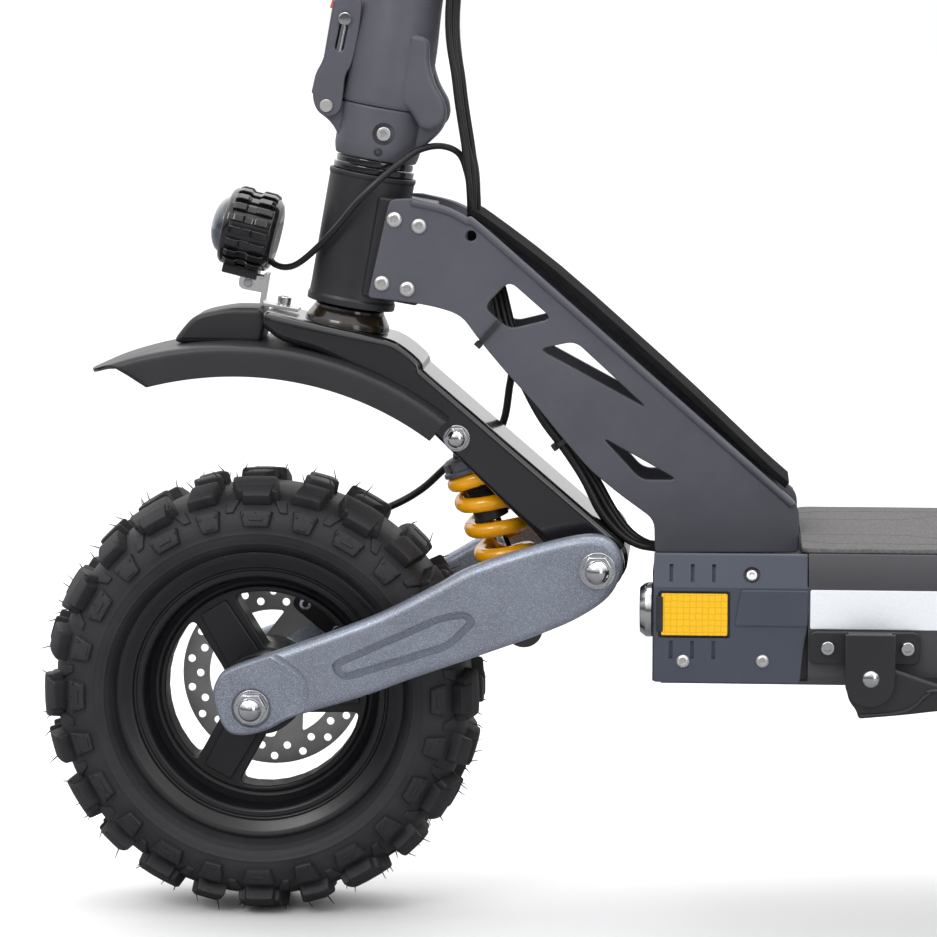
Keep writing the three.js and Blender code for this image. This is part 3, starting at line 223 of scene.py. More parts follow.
def flat(outline, low, high, holes=(), bevel=0.0, axis="Y", steps=2):
    """A plate of an outline with holes, carried along an axis from low to high, its edges rounded.
    The outline is x, z along Y; y, z along X; and x, y along Z."""
    deselect()
    bpy.ops.curve.primitive_bezier_circle_add()
    piece = bpy.context.object
    shape = piece.data
    shape.splines.clear()
    shape.dimensions = "2D"
    shape.fill_mode = "BOTH"
    for loop in (outline, *holes):
        spline = shape.splines.new("POLY")
        spline.points.add(len(loop) - 1)
        for point, place in zip(spline.points, loop):
            point.co = (place[0], place[1], 0, 1)
        spline.use_cyclic_u = True
    shape.extrude = (high - low) / 2 - bevel
    shape.bevel_depth = bevel
    shape.bevel_resolution = steps
    shape.offset = -bevel
    bpy.ops.object.convert(target="MESH")
    piece = bpy.context.object
    middle = Vector([(low + high) / 2 if name == axis else 0 for name in "XYZ"])
    moved(piece, Matrix.Translation(middle) @ AXES[axis])
    only(piece)
    bpy.ops.object.mode_set(mode="EDIT")
    bpy.ops.mesh.select_all(action="SELECT")
    bpy.ops.mesh.remove_doubles(threshold=0.01)
    bpy.ops.mesh.normals_make_consistent(inside=False)
    bpy.ops.object.mode_set(mode="OBJECT")
    return piece


def turned(profile, axis="Y", steps=64, angle=360.0, start=0.0):
    """A closed profile of (radius, along) points spun round the Y or the Z axis."""
    deselect()
    whole = angle == 360.0
    bpy.ops.mesh.primitive_circle_add(
        vertices=len(profile), fill_type="NOTHING" if whole else "NGON"
    )
    piece = bpy.context.object
    for vertex, (radius, along) in zip(piece.data.vertices, profile):
        if axis == "Y":
            vertex.co = (radius * math.sin(start * DEG), along, radius * math.cos(start * DEG))
        else:
            vertex.co = (radius * math.cos(start * DEG), radius * math.sin(start * DEG), along)
    bpy.ops.object.mode_set(mode="EDIT")
    bpy.ops.mesh.select_all(action="SELECT")
    direction = (0, 1, 0) if axis == "Y" else (0, 0, 1)
    sweep = -angle if axis == "Y" else angle
    bpy.ops.mesh.spin(steps=steps, angle=sweep * DEG, center=(0, 0, 0), axis=direction)
    bpy.ops.mesh.select_all(action="SELECT")
    bpy.ops.mesh.remove_doubles(threshold=0.002)
    bpy.ops.mesh.delete_loose()
    bpy.ops.mesh.select_all(action="SELECT")
    bpy.ops.mesh.normals_make_consistent(inside=False)
    bpy.ops.object.mode_set(mode="OBJECT")
    return piece


def along_line(start, end):
    """A matrix that takes the Z axis to the line from start to end."""
    way = Vector(end) - Vector(start)
    return Matrix.Translation(start) @ way.to_track_quat("Z", "Y").to_matrix().to_4x4()


def rod(start, end, radius, edge=0.6, steps=32, end_radius=None, bore=0.0):
    """A round bar with softened ends, or a sleeve when it has a bore."""
    length = (Vector(end) - Vector(start)).length
    tip = radius if end_radius is None else end_radius
    profile = rounded([(bore, 0), (radius, 0), (tip, length), (bore, length)], [0, edge, edge, 0], 3)
    return moved(turned(profile, "Z", steps), along_line(start, end))


def tube(points, radius, sides=3, closed=False, per_span=6, straight=False):
    """A round cable or wire on a line through the points."""
    deselect()
    bpy.ops.curve.primitive_bezier_circle_add()
    piece = bpy.context.object
    shape = piece.data
    shape.splines.clear()
    shape.dimensions = "3D"
    line = points if straight else smooth(points, per_span, closed)
    spline = shape.splines.new("POLY")
    spline.points.add(len(line) - 1)
    for point, place in zip(spline.points, line):
        point.co = (*place, 1)
    spline.use_cyclic_u = closed
    shape.bevel_depth = radius
    shape.bevel_resolution = sides
    shape.use_fill_caps = True
    shape.twist_mode = "Z_UP" if closed else "MINIMUM"
    bpy.ops.object.convert(target="MESH")
    return bpy.context.object


def block(x0, x1, y0, y1, z0, z1, edge=1.0, segments=2):
    """A box with rounded edges."""
    deselect()
    bpy.ops.mesh.primitive_cube_add(size=1, location=(0, 0, 0))
    piece = bpy.context.object
    place = Matrix.Translation(((x0 + x1) / 2, (y0 + y1) / 2, (z0 + z1) / 2))
    moved(piece, place @ Matrix.Diagonal((x1 - x0, y1 - y0, z1 - z0, 1)))
    return bevelled(piece, edge, segments) if edge else piece


def join(*pieces):
    deselect()
    for piece in pieces:
        piece.select_set(True)
    bpy.context.view_layer.objects.active = pieces[0]
    bpy.ops.object.join()
    return pieces[0]


def cut(piece, *tools):
    """Takes the tools away from the piece, and removes them."""
    for tool in tools:
        apply_modifier(piece, "BOOLEAN", object=tool, operation="DIFFERENCE", solver="EXACT")
        bpy.data.objects.remove(tool)
    return piece


def copied(piece, matrix=Matrix.Identity(4)):
    """A copy with its own mesh, moved."""
    copy = piece.copy()
    copy.data = piece.data.copy()
    for key in list(copy.keys()):
        del copy[key]
    bpy.context.scene.collection.objects.link(copy)
    copy.parent = None
    copy.matrix_world = Matrix.Identity(4)
    return moved(copy, matrix)


def ring_of(piece, count, axis=(0, 1, 0)):
    """The piece repeated count times round an axis through the origin, in one mesh."""
    only(piece)
    bpy.ops.object.mode_set(mode="EDIT")
    bpy.ops.mesh.select_all(action="SELECT")
    bpy.ops.mesh.spin(
        steps=count - 1,
        dupli=True,
        angle=2 * math.pi * (count - 1) / count,
        center=(0, 0, 0),
        axis=axis,
    )
    bpy.ops.object.mode_set(mode="OBJECT")
    return piece


# ---------- materials ----------
materials = {}


def node_group(name, inputs, outputs):
    """A new shader node group with named sockets, and its two end nodes."""
    group = bpy.data.node_groups.new(name, "ShaderNodeTree")
    for label, kind, value in inputs:
        socket = group.interface.new_socket(name=label, in_out="INPUT", socket_type=kind)
        if value is not None:
            socket.default_value = value
    for label, kind in outputs:
        group.interface.new_socket(name=label, in_out="OUTPUT", socket_type=kind)
    return group, group.nodes.new("NodeGroupInput"), group.nodes.new("NodeGroupOutput")


def add_node(tree, kind, links=None, **settings):
    """A node with its settings, linked from a dictionary of input name to output socket or value."""
    node = tree.nodes.new(kind)
    for key, value in settings.items():
        setattr(node, key, value)
    for key, value in (links or {}).items():
        if isinstance(value, bpy.types.NodeSocket):
            tree.links.new(value, node.inputs[key])
        else:
            node.inputs[key].default_value = value
    return node


def make_skin_group():
    """Colour drifts between two tones, roughness between two values, and a fine grain gives height."""
    group, start, end = node_group(
        "Skin",
        [
            ("Vector", "NodeSocketVector", None),
            ("Tone", "NodeSocketColor", (0.5, 0.5, 0.5, 1)),
            ("Other Tone", "NodeSocketColor", (0.4, 0.4, 0.4, 1)),
            ("Tone Scale", "NodeSocketFloat", 20.0),
            ("Smooth", "NodeSocketFloat", 0.3),
            ("Rough", "NodeSocketFloat", 0.5),
            ("Grain Scale", "NodeSocketFloat", 900.0),
        ],
        [("Colour", "NodeSocketColor"), ("Roughness", "NodeSocketFloat"), ("Height", "NodeSocketFloat")],
    )
    given = start.outputs
    drift = add_node(
        group,
        "ShaderNodeTexNoise",
        {"Vector": given["Vector"], "Scale": given["Tone Scale"], "Detail": 5.0, "Roughness": 0.6},
    )
    spread = add_node(
        group,
        "ShaderNodeMapRange",
        {"Value": drift.outputs["Fac"], "From Min": 0.35, "From Max": 0.65},
    )
    mix = add_node(
        group,
        "ShaderNodeMix",
        {"Factor": spread.outputs["Result"], 6: given["Tone"], 7: given["Other Tone"]},
        data_type="RGBA",
    )
    grain = add_node(
        group,
        "ShaderNodeTexNoise",
        {"Vector": given["Vector"], "Scale": given["Grain Scale"], "Detail": 3.0, "Roughness": 0.55},
    )
    both = add_node(
        group,
        "ShaderNodeMath",
        {0: drift.outputs["Fac"], 1: grain.outputs["Fac"]},
        operation="ADD",
    )
    finish = add_node(
        group,
        "ShaderNodeMapRange",
        {
            "Value": both.outputs["Value"],
            "From Min": 0.7,
            "From Max": 1.3,
            "To Min": given["Smooth"],
            "To Max": given["Rough"],
        },
    )
    group.links.new(mix.outputs[2], end.inputs["Colour"])
    group.links.new(finish.outputs["Result"], end.inputs["Roughness"])
    group.links.new(grain.outputs["Fac"], end.inputs["Height"])
    return group


def new_material(name):
    """A material with a Principled shader and its output; gives its tree, shader and coordinates."""
    material = bpy.data.materials.new(name)
    material.use_nodes = True
    materials[name] = material
    tree = material.node_tree
    coordinates = add_node(tree, "ShaderNodeTexCoord")
    return tree, tree.nodes["Principled BSDF"], coordinates.outputs["Object"]


def skin_material(
    name, tone, other, smooth_to, rough_to, grain_scale=900.0, tone_scale=20.0,
    bump=0.1, depth=0.0002, **shader_values,
):
    """A material on the Skin group; shader_values go straight to the shader's own sockets."""
    tree, shader, place = new_material(name)
    skin = add_node(tree, "ShaderNodeGroup", node_tree=bpy.data.node_groups["Skin"])
    tree.links.new(place, skin.inputs["Vector"])
    given = {
        "Tone": (*tone, 1), "Other Tone": (*other, 1), "Tone Scale": tone_scale,
        "Smooth": smooth_to, "Rough": rough_to, "Grain Scale": grain_scale,
    }
    for key, value in given.items():
        skin.inputs[key].default_value = value
    tree.links.new(skin.outputs["Colour"], shader.inputs["Base Color"])
    tree.links.new(skin.outputs["Roughness"], shader.inputs["Roughness"])
    relief = add_node(
        tree,
        "ShaderNodeBump",
        {"Strength": bump, "Distance": depth, "Height": skin.outputs["Height"]},
    )
    tree.links.new(relief.outputs["Normal"], shader.inputs["Normal"])
    for key, value in shader_values.items():
        shader.inputs[key.replace("_", " ")].default_value = value
    return tree, shader, place, skin, relief


def toned(colour, share=0.75):
    """The colour made darker, or lighter with a share over 1."""
    return tuple(c * share for c in colour)


def make_materials():
    make_skin_group()
    look = bpy.context.scene.scooter_colours
    gloss = tuple(look.gloss_black)
    skin_material(
        "gloss_black", gloss, toned(gloss, 0.8), 0.1, 0.2, 500.0, 14.0, 0.12, 0.00025,
        Coat_Weight=0.8, Coat_Roughness=0.06, Specular_IOR_Level=0.55,
    )
    satin = tuple(look.satin_black)
    skin_material(
        "satin_black", satin, toned(satin), 0.34, 0.46, 1500.0, 18.0, 0.16, 0.00015,
        Specular_IOR_Level=0.55,
    )
    # The frame's satin black paint made lighter for the deck shell: painted sheen for the top light on the
    # deck's slope, not a paint of its own.
    deck = tuple(look.deck_painted_sheen)
    skin_material(
        "deck_painted_sheen", deck, toned(deck, 0.85), 0.34, 0.46, 1500.0, 18.0, 0.16, 0.00015,
        Specular_IOR_Level=0.55,
    )
    rim = tuple(look.rim_black)
    skin_material(
        "rim_black", rim, toned(rim), 0.28, 0.4, 1300.0, 25.0, 0.14, 0.00015,
        Specular_IOR_Level=0.5,
    )
    cast = tuple(look.cast_grey)
    skin_material(
        "cast_grey", cast, toned(cast, 0.82), 0.42, 0.55, 1600.0, 22.0, 0.22, 0.00018,
        Metallic=0.35, Specular_IOR_Level=0.5,
    )
    make_arm_paint(tuple(look.arm_paint))
    skin_material(
        "chrome", (0.78, 0.79, 0.8), (0.7, 0.71, 0.73), 0.1, 0.2, 300.0, 60.0, 0.05, 0.0001,
        Metallic=1.0,
    )
    skin_material(
        "bright_steel", (0.82, 0.81, 0.8), (0.7, 0.69, 0.68), 0.24, 0.38, 900.0, 40.0, 0.12, 0.0001,
        Metallic=0.8,
    )
    make_brushed_steel()
    rubber = tuple(look.tyre_rubber)
    skin_material(
        "tyre_rubber", rubber, toned(rubber, 1.5), 0.5, 0.72, 700.0, 30.0, 0.3, 0.0003,
        Specular_IOR_Level=0.42,
    )
    skin_material(
        "grip_rubber", (0.02, 0.02, 0.021), (0.014, 0.014, 0.015), 0.6, 0.8, 900.0, 40.0, 0.35, 0.0003,
        Specular_IOR_Level=0.35,
    )
    skin_material(
        "cable_sheath", (0.013, 0.013, 0.014), (0.009, 0.009, 0.01), 0.28, 0.42, 600.0, 60.0, 0.1,
        0.0001, Specular_IOR_Level=0.5,
    )
    spring = tuple(look.spring_paint)
    skin_material(
        "spring_paint", spring, toned(spring, 0.9), 0.16, 0.28, 400.0, 40.0, 0.08, 0.0001,
        Coat_Weight=0.6, Coat_Roughness=0.08,
    )
    skin_material(
        "matte_plastic", (0.028, 0.028, 0.031), (0.021, 0.021, 0.023), 0.36, 0.5, 1100.0, 26.0, 0.28,
        0.0002, Specular_IOR_Level=0.45,
    )
    slate = tuple(look.slate_plastic)
    skin_material(
        "slate_plastic", slate, toned(slate, 0.86), 0.4, 0.52, 1700.0, 15.0, 0.3, 0.00018,
        Specular_IOR_Level=0.5,
    )
    mat = tuple(look.deck_mat)
    skin_material(
        "deck_grip", mat, toned(mat, 0.55), 0.8, 0.95, 1500.0, 900.0, 0.9, 0.0006,
        Specular_IOR_Level=0.25,
    )
    skin_material(
        "lamp_black", (0.007, 0.007, 0.008), (0.005, 0.005, 0.006), 0.08, 0.16, 300.0, 30.0, 0.04,
        0.0001, Coat_Weight=0.5, Specular_IOR_Level=0.6,
    )
    skin_material(
        "lens", (0.06, 0.075, 0.1), (0.02, 0.026, 0.036), 0.03, 0.07, 300.0, 90.0, 0.02, 0.0001,
        Coat_Weight=1.0, Specular_IOR_Level=0.8,
    )
    skin_material(
        "light_strip", (0.73, 0.755, 0.785), (0.7, 0.725, 0.76), 0.22, 0.32, 500.0, 9.0, 0.06, 0.0001,
        Specular_IOR_Level=0.4,
    )
    make_reflector("amber_reflector", (0.86, 0.47, 0.0), (0.66, 0.3, 0.0))
    make_reflector("red_lens", (0.62, 0.02, 0.02), (0.3, 0.006, 0.008))
    skin_material(
        "safety_orange", (0.85, 0.1, 0.015), (0.7, 0.07, 0.01), 0.3, 0.42, 600.0, 30.0, 0.1, 0.0001,
    )
    # A near-black brown glossy finish for the ring on the crown race, under the head tube.
    skin_material(
        "crown_race_dark", (0.03, 0.019, 0.009), (0.006, 0.005, 0.005), 0.12, 0.25, 300.0, 120.0, 0.3, 0.0004,
        Coat_Weight=0.6,
    )
    skin_material(
        "battery_wrap", (0.03, 0.1, 0.32), (0.02, 0.08, 0.26), 0.3, 0.45, 500.0, 12.0, 0.2, 0.0003,
    )
    skin_material(
        "controller_case", (0.6, 0.61, 0.63), (0.5, 0.51, 0.53), 0.35, 0.5, 900.0, 20.0, 0.15, 0.0001,
        Metallic=1.0,
    )
    skin_material(
        "strip_rubber", (0.011, 0.011, 0.012), (0.008, 0.008, 0.009), 0.85, 0.95, 900.0, 60.0, 0.2, 0.0002,
        Specular_IOR_Level=0.08,
    )
    skin_material(
        "display_glass", (0.006, 0.007, 0.01), (0.004, 0.005, 0.007), 0.05, 0.1, 200.0, 20.0, 0.02,
        0.0001, Coat_Weight=1.0,
    )


def make_arm_paint(paint):
    """Metallic cast paint: a satin skin with fine bright flakes in it."""
    tree, shader, place, skin, _ = skin_material(
        "arm_paint", paint, toned(paint, 0.8), 0.36, 0.48, 1100.0, 30.0, 0.25, 0.0002,
        Metallic=0.55, Coat_Weight=0.15, Coat_Roughness=0.3,
    )
    flakes = add_node(
        tree, "ShaderNodeTexVoronoi", {"Vector": place, "Scale": 2600.0}, feature="F1"
    )
    shine = add_node(
        tree,
        "ShaderNodeMapRange",
        {"Value": flakes.outputs["Color"], "From Min": 0.55, "From Max": 0.95},
    )
    bright = add_node(
        tree,
        "ShaderNodeMix",
        {
            "Factor": shine.outputs["Result"],
            6: skin.outputs["Colour"],
            7: tuple(min(1.0, c * 1.9) for c in paint) + (1.0,),
        },
        data_type="RGBA",
    )
    tree.links.new(bright.outputs[2], shader.inputs["Base Color"])


def make_brushed_steel():
    """Ground steel: fine lines across the sheet."""
    tree, _, place, _, relief = skin_material(
        "brushed_steel", (0.8, 0.795, 0.78), (0.7, 0.695, 0.68), 0.36, 0.52, 600.0, 50.0, 0.12, 0.0001,
        Metallic=0.55,
    )
    stretch = add_node(tree, "ShaderNodeMapping", {"Vector": place, "Scale": (2500.0, 60.0, 60.0)})
    lines = add_node(
        tree, "ShaderNodeTexNoise", {"Vector": stretch.outputs["Vector"], "Scale": 1.0, "Detail": 2.0}
    )
    tree.links.new(lines.outputs["Fac"], relief.inputs["Height"])


def make_reflector(name, bright, deep):
    """Moulded prisms under a clear gloss."""
    tree, shader, place, _, relief = skin_material(
        name, bright, deep, 0.16, 0.26, 400.0, 60.0, 0.4, 0.0004, Coat_Weight=0.25, Coat_Roughness=0.08,
    )
    prisms = add_node(
        tree, "ShaderNodeTexVoronoi", {"Vector": place, "Scale": 260.0, "Randomness": 0.15},
        feature="DISTANCE_TO_EDGE",
    )
    edge = add_node(
        tree,
        "ShaderNodeMapRange",
        {"Value": prisms.outputs["Distance"], "From Min": 0.0, "From Max": 0.12},
    )
    tone = add_node(
        tree,
        "ShaderNodeMix",
        {"Factor": edge.outputs["Result"], 6: (*toned(bright, 0.72), 1), 7: (*bright, 1)},
        data_type="RGBA",
    )
    tree.links.new(tone.outputs[2], shader.inputs["Base Color"])
    tree.links.new(prisms.outputs["Distance"], relief.inputs["Height"])


SLOTS = {
    "gloss_black": "gloss_black_paint",
    "satin_black": "satin_black_paint",
    "deck_painted_sheen": "satin_black_paint",
    "rim_black": "black_alloy",
    "cast_grey": "dark_grey_alloy",
    "arm_paint": "blue_grey_alloy",
    "chrome": "steel",
    "bright_steel": "steel",
    "brushed_steel": "steel",
    "tyre_rubber": "tyre_rubber",
    "grip_rubber": "grip_rubber",
    "cable_sheath": "cable_sheath",
    "spring_paint": "spring_paint",
    "matte_plastic": "matte_black_plastic",
    "strip_rubber": "matte_black_plastic",
    "slate_plastic": "slate_plastic",
    "deck_grip": "deck_grip",
    "lamp_black": "lamp_black",
    "red_lens": "signal_red",
    "battery_wrap": "battery_wrap",
    "controller_case": "controller_case",
}


def settle(piece, name, place, finish, body, replaces=(), smoothing=32, weighted=True):
    """Brings a modelled piece to its place, names and finishes it, and lets it ride on its body."""
    only(piece)
    piece.name = name
    piece.data.name = name
    moved(piece, place @ piece.matrix_world)
    piece.matrix_world = Matrix.Identity(4)
    bpy.ops.object.shade_smooth_by_angle(angle=smoothing * DEG)
    if weighted:
        apply_modifier(piece, "WEIGHTED_NORMAL", keep_sharp=True, mode="FACE_AREA")
    piece.data.materials.clear()
    piece.data.materials.append(materials[finish])
    if body:
        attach(piece, body)
    if finish in SLOTS:
        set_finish(piece, SLOTS[finish])
    if replaces:
        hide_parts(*replaces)
    return piece


def twin_of(piece, matrix, name, body, replaces=()):
    """A settled piece's copy at another place, with the same finish."""
    twin = copied(piece, matrix)
    twin.name = name
    twin.data.name = name
    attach(twin, body)
    if "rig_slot" in piece:
        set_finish(twin, piece["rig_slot"])
    if replaces:
        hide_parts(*replaces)
    return twin


def at_rear(piece, name, body, replaces=()):
    """The rear wheel unit's copy of a front piece."""
    return twin_of(piece, FRONT_TO_REAR, name, body, replaces)


def mirrored(piece, name, body, replaces=()):
    """The right-hand copy of a left-hand piece."""
    return twin_of(piece, MIRROR, name, body, replaces)


# ---------- fasteners, modelled once at the origin and pointing along +Z ----------
def dome_nut(across=17.0, height=13.0):
    """An acorn nut with a washer under it."""
    wide = across * 0.62
    washer = turned(rounded([(0, 0), (wide, 0), (wide, 1.6), (0, 1.6)], [0, 0.3, 0.5, 0]), "Z", 40)
    hexagon = flat(circle(across * 0.577, 6), 1.4, 1.4 + height * 0.5, bevel=0.7, axis="Z")
    radius = across * 0.42
    low = 1.4 + height * 0.46
    dome = [(0, low), (radius, low)]
    for step in range(0, 90, 10):
        rise = height * 0.08 + height * 0.46 * math.sin(step * DEG)
        dome.append((radius * math.cos(step * DEG), low + rise))
    dome.append((0, low + height * 0.54))
    return join(washer, hexagon, turned(dome, "Z", 36))


def socket_screw(radius=5.0, height=3.0, cap=False):
    """A button or cap head with a hexagon socket."""
    if cap:
        profile = rounded([(0, 0), (radius, 0), (radius, height), (0, height)], [0, 0.2, 0.8, 0])
    else:
        profile = [(0, 0), (radius, 0), (radius, height * 0.25)]
        for step in range(10, 70, 10):
            rise = height * (0.25 + 0.75 * math.sin(step * DEG))
            profile.append((radius * math.cos(step * DEG) ** 0.7, rise))
        profile.append((0, height * 0.96))
    head = turned(profile, "Z", 36)
    deselect()
    bpy.ops.mesh.primitive_cylinder_add(
        vertices=6, radius=radius * 0.56, depth=height * 1.6, location=(0, 0, height * 1.05)
    )
    return bevelled(cut(head, bpy.context.object), radius * 0.05, 2, 50)


def rivet_head(radius=5.0, height=1.6):
    profile = [(0, 0)]
    for step in range(0, 90, 15):
        profile.append((radius * math.cos(step * DEG), height * math.sin(step * DEG)))
    return turned(profile + [(0, height)], "Z", 32)


def fastened(model, spots, facing):
    """Copies of a fastener at spots, all pointing the way facing says, joined. The model is used up."""
    turn = Vector(facing).to_track_quat("Z", "Y").to_matrix().to_4x4()
    copies = [copied(model, Matrix.Translation(spot) @ turn) for spot in spots]
    bpy.data.objects.remove(model)
    return join(*copies)


def nuts_on_bolt(spot, left, right, across, height):
    """Dome nuts on both ends of a bolt that runs across the scooter through the spot (x, z)."""
    x, z = spot
    return join(
        fastened(dome_nut(across, height), [(x, left, z)], (0, -1, 0)),
        fastened(dome_nut(across, height), [(x, right, z)], (0, 1, 0)),
    )


# ---------- stage ----------
CAMERA_LENS = 143.893
CAMERA_PLACE = (293.653, -2366.615, 590.772)
CAMERA_TARGET = (131.241, 0, 285.198)


def make_camera():
    camera = bpy.data.cameras.new("camera")
    camera.sensor_width = 36.0
    camera.lens = CAMERA_LENS
    camera.clip_end = 200.0
    holder = bpy.data.objects.new("camera", camera)
    bpy.context.scene.collection.objects.link(holder)
    place = GROUND @ Vector(CAMERA_PLACE)
    target = GROUND @ Vector(CAMERA_TARGET)
    holder.location = place
    holder.rotation_euler = (target - place).to_track_quat("-Z", "Y").to_euler()
    bpy.context.scene.camera = holder


def make_floor():
    """A pale floor that looks darker in reflections, so black paint keeps its depth."""
    deselect()
    bpy.ops.mesh.primitive_grid_add(x_subdivisions=4, y_subdivisions=4, size=60)
    floor = bpy.context.object
    floor.name = "floor"
    floor.location.z = -0.0002
    tree, shader, *_ = skin_material(
        "pale_floor", (0.9, 0.9, 0.91), (0.88, 0.88, 0.89), 0.5, 0.6, 60.0, 0.8, 0.02, 0.0005,
        Specular_IOR_Level=0.2,
    )
    floor.data.materials.append(materials["pale_floor"])
    colour = shader.inputs["Base Color"].links[0].from_socket
    path = add_node(tree, "ShaderNodeLightPath")
    dim = add_node(
        tree,
        "ShaderNodeMix",
        {"Factor": path.outputs["Is Glossy Ray"], 6: colour, 7: (0.2, 0.2, 0.21, 1)},
        data_type="RGBA",
    )
    tree.links.new(dim.outputs[2], shader.inputs["Base Color"])


def add_light(name, place, target, size, power, colour=(1, 1, 1)):
    lamp = bpy.data.lights.new(name, "AREA")
    lamp.shape = "RECTANGLE"
    lamp.size, lamp.size_y = size
    lamp.energy = power
    lamp.color = colour
    holder = bpy.data.objects.new(name, lamp)
    bpy.context.scene.collection.objects.link(holder)
    holder.location = place
    holder.rotation_euler = (Vector(target) - Vector(place)).to_track_quat("-Z", "Y").to_euler()


def make_sky():
    """A white room: brightest overhead and behind, dimmer on the side that the light tent opens to."""
    world = bpy.data.worlds.new("studio")
    bpy.context.scene.world = world
    world.use_nodes = True
    tree = world.node_tree
    tree.nodes.clear()
    place = add_node(tree, "ShaderNodeTexCoord")
    split = add_node(tree, "ShaderNodeSeparateXYZ", {"Vector": place.outputs["Generated"]})
    top = add_node(
        tree,
        "ShaderNodeMapRange",
        {"Value": split.outputs["Z"], "From Min": 0.12, "From Max": 0.62, "To Min": 0.1, "To Max": 1.3},
    )
    back = add_node(
        tree,
        "ShaderNodeMapRange",
        {"Value": split.outputs["Y"], "From Min": -0.1, "From Max": 0.7, "To Min": 0.0, "To Max": 0.75},
    )
    total = add_node(tree, "ShaderNodeMath", {0: top.outputs["Result"], 1: back.outputs["Result"]})
    soft = add_node(tree, "ShaderNodeBackground", {"Strength": total.outputs["Value"]})
    white = add_node(tree, "ShaderNodeBackground", {"Strength": 1.0})
    white.inputs["Color"].default_value = (1, 1, 1, 1)
    soft.inputs["Color"].default_value = (1, 1, 1, 1)
    path = add_node(tree, "ShaderNodeLightPath")
    mix = add_node(tree, "ShaderNodeMixShader", {0: path.outputs["Is Camera Ray"]})
    tree.links.new(soft.outputs[0], mix.inputs[1])
    tree.links.new(white.outputs[0], mix.inputs[2])
    out = add_node(tree, "ShaderNodeOutputWorld")
    tree.links.new(mix.outputs[0], out.inputs["Surface"])


def make_stage():
    make_camera()
    make_floor()
    make_sky()
    add_light("key", (-1.6, -2.2, 2.2), (-0.3, 0, 0.35), (1.3, 1.0), 24)
    add_light("fill", (1.3, -2.6, 1.0), (-0.1, 0, 0.3), (0.9, 1.6), 9)
    add_light("top", (0.0, 0.3, 2.8), (0, 0, 0.3), (2.4, 2.0), 22)
    bpy.context.scene.view_settings.view_transform = "Standard"


# ---------- wheels ----------
# The tyre's outer section: (half width, radius) from the middle of the tread to the bead.
TYRE_SECTION = [
    (0, 133.4), (13, 133.0), (25, 131.0), (34, 126.6), (40.6, 119.5), (43.8, 111.0),
    (43.4, 103.2), (39.6, 97.2), (34.0, 94.2), (31.0, 93.2),
]
TREAD_MIDDLE = TYRE_SECTION[0][1]
TREAD_TOP = 141.8
PITCHES = 12  # how often the tread's pattern repeats round the tyre


def tyre_surface(across, height):
    """The point (y, radius) on the tyre's section at a distance across from the middle, and above it."""
    line = smooth(TYRE_SECTION, 8)
    left = abs(across)
    for (y0, r0), (y1, r1) in zip(line, line[1:]):
        step = math.hypot(y1 - y0, r1 - r0)
        if left <= step or (y1, r1) == line[-1]:
            share = left / step
            normal = (-(r1 - r0) / step, (y1 - y0) / step)
            y = y0 + (y1 - y0) * share + normal[0] * height
            return math.copysign(y, across), r0 + (r1 - r0) * share + normal[1] * height
        left -= step


def tread_block(u0, u1, s0, s1, height, lean=0.0, narrow=1.0, edge=1.1, sink=2.5):
    """A block of rubber on the tread. u runs round the tyre and s across it, in millimetres;
    lean slants it, and narrow scales its far end."""
    deselect()
    bpy.ops.mesh.primitive_grid_add(x_subdivisions=3, y_subdivisions=3, size=1)
    piece = bpy.context.object
    bpy.ops.object.mode_set(mode="EDIT")
    bpy.ops.mesh.select_all(action="SELECT")
    bpy.ops.mesh.extrude_region_move(TRANSFORM_OT_translate={"value": (0, 0, 1)})
    bpy.ops.object.mode_set(mode="OBJECT")
    middle = (u0 + u1) / 2
    for vertex in piece.data.vertices:
        x, y, z = vertex.co
        draft = 0.86 if z > 0.5 else 1.0
        along = y * draft + 0.5
        taper = 1 + (narrow - 1) * along
        vertex.co = (
            middle + x * (u1 - u0) * draft * taper + lean * (along - 0.5),
            s0 + (s1 - s0) * along,
            -sink + (height + sink) * z,
        )
    bevelled(piece, edge, 2, 30)
    only(piece)
    bpy.ops.object.mode_set(mode="EDIT")
    bpy.ops.mesh.select_all(action="SELECT")
    bpy.ops.mesh.normals_make_consistent(inside=False)
    bpy.ops.object.mode_set(mode="OBJECT")
    return piece


def wrapped(piece):
    """Lays a flat block onto the tyre: x round it, y across it, z above it."""
    for vertex in piece.data.vertices:
        u, s, height = vertex.co
        y, radius = tyre_surface(s, height)
        radius = min(radius, TREAD_TOP)
        angle = u / TREAD_MIDDLE
        vertex.co = (radius * math.sin(angle), y, radius * math.cos(angle))
    return piece


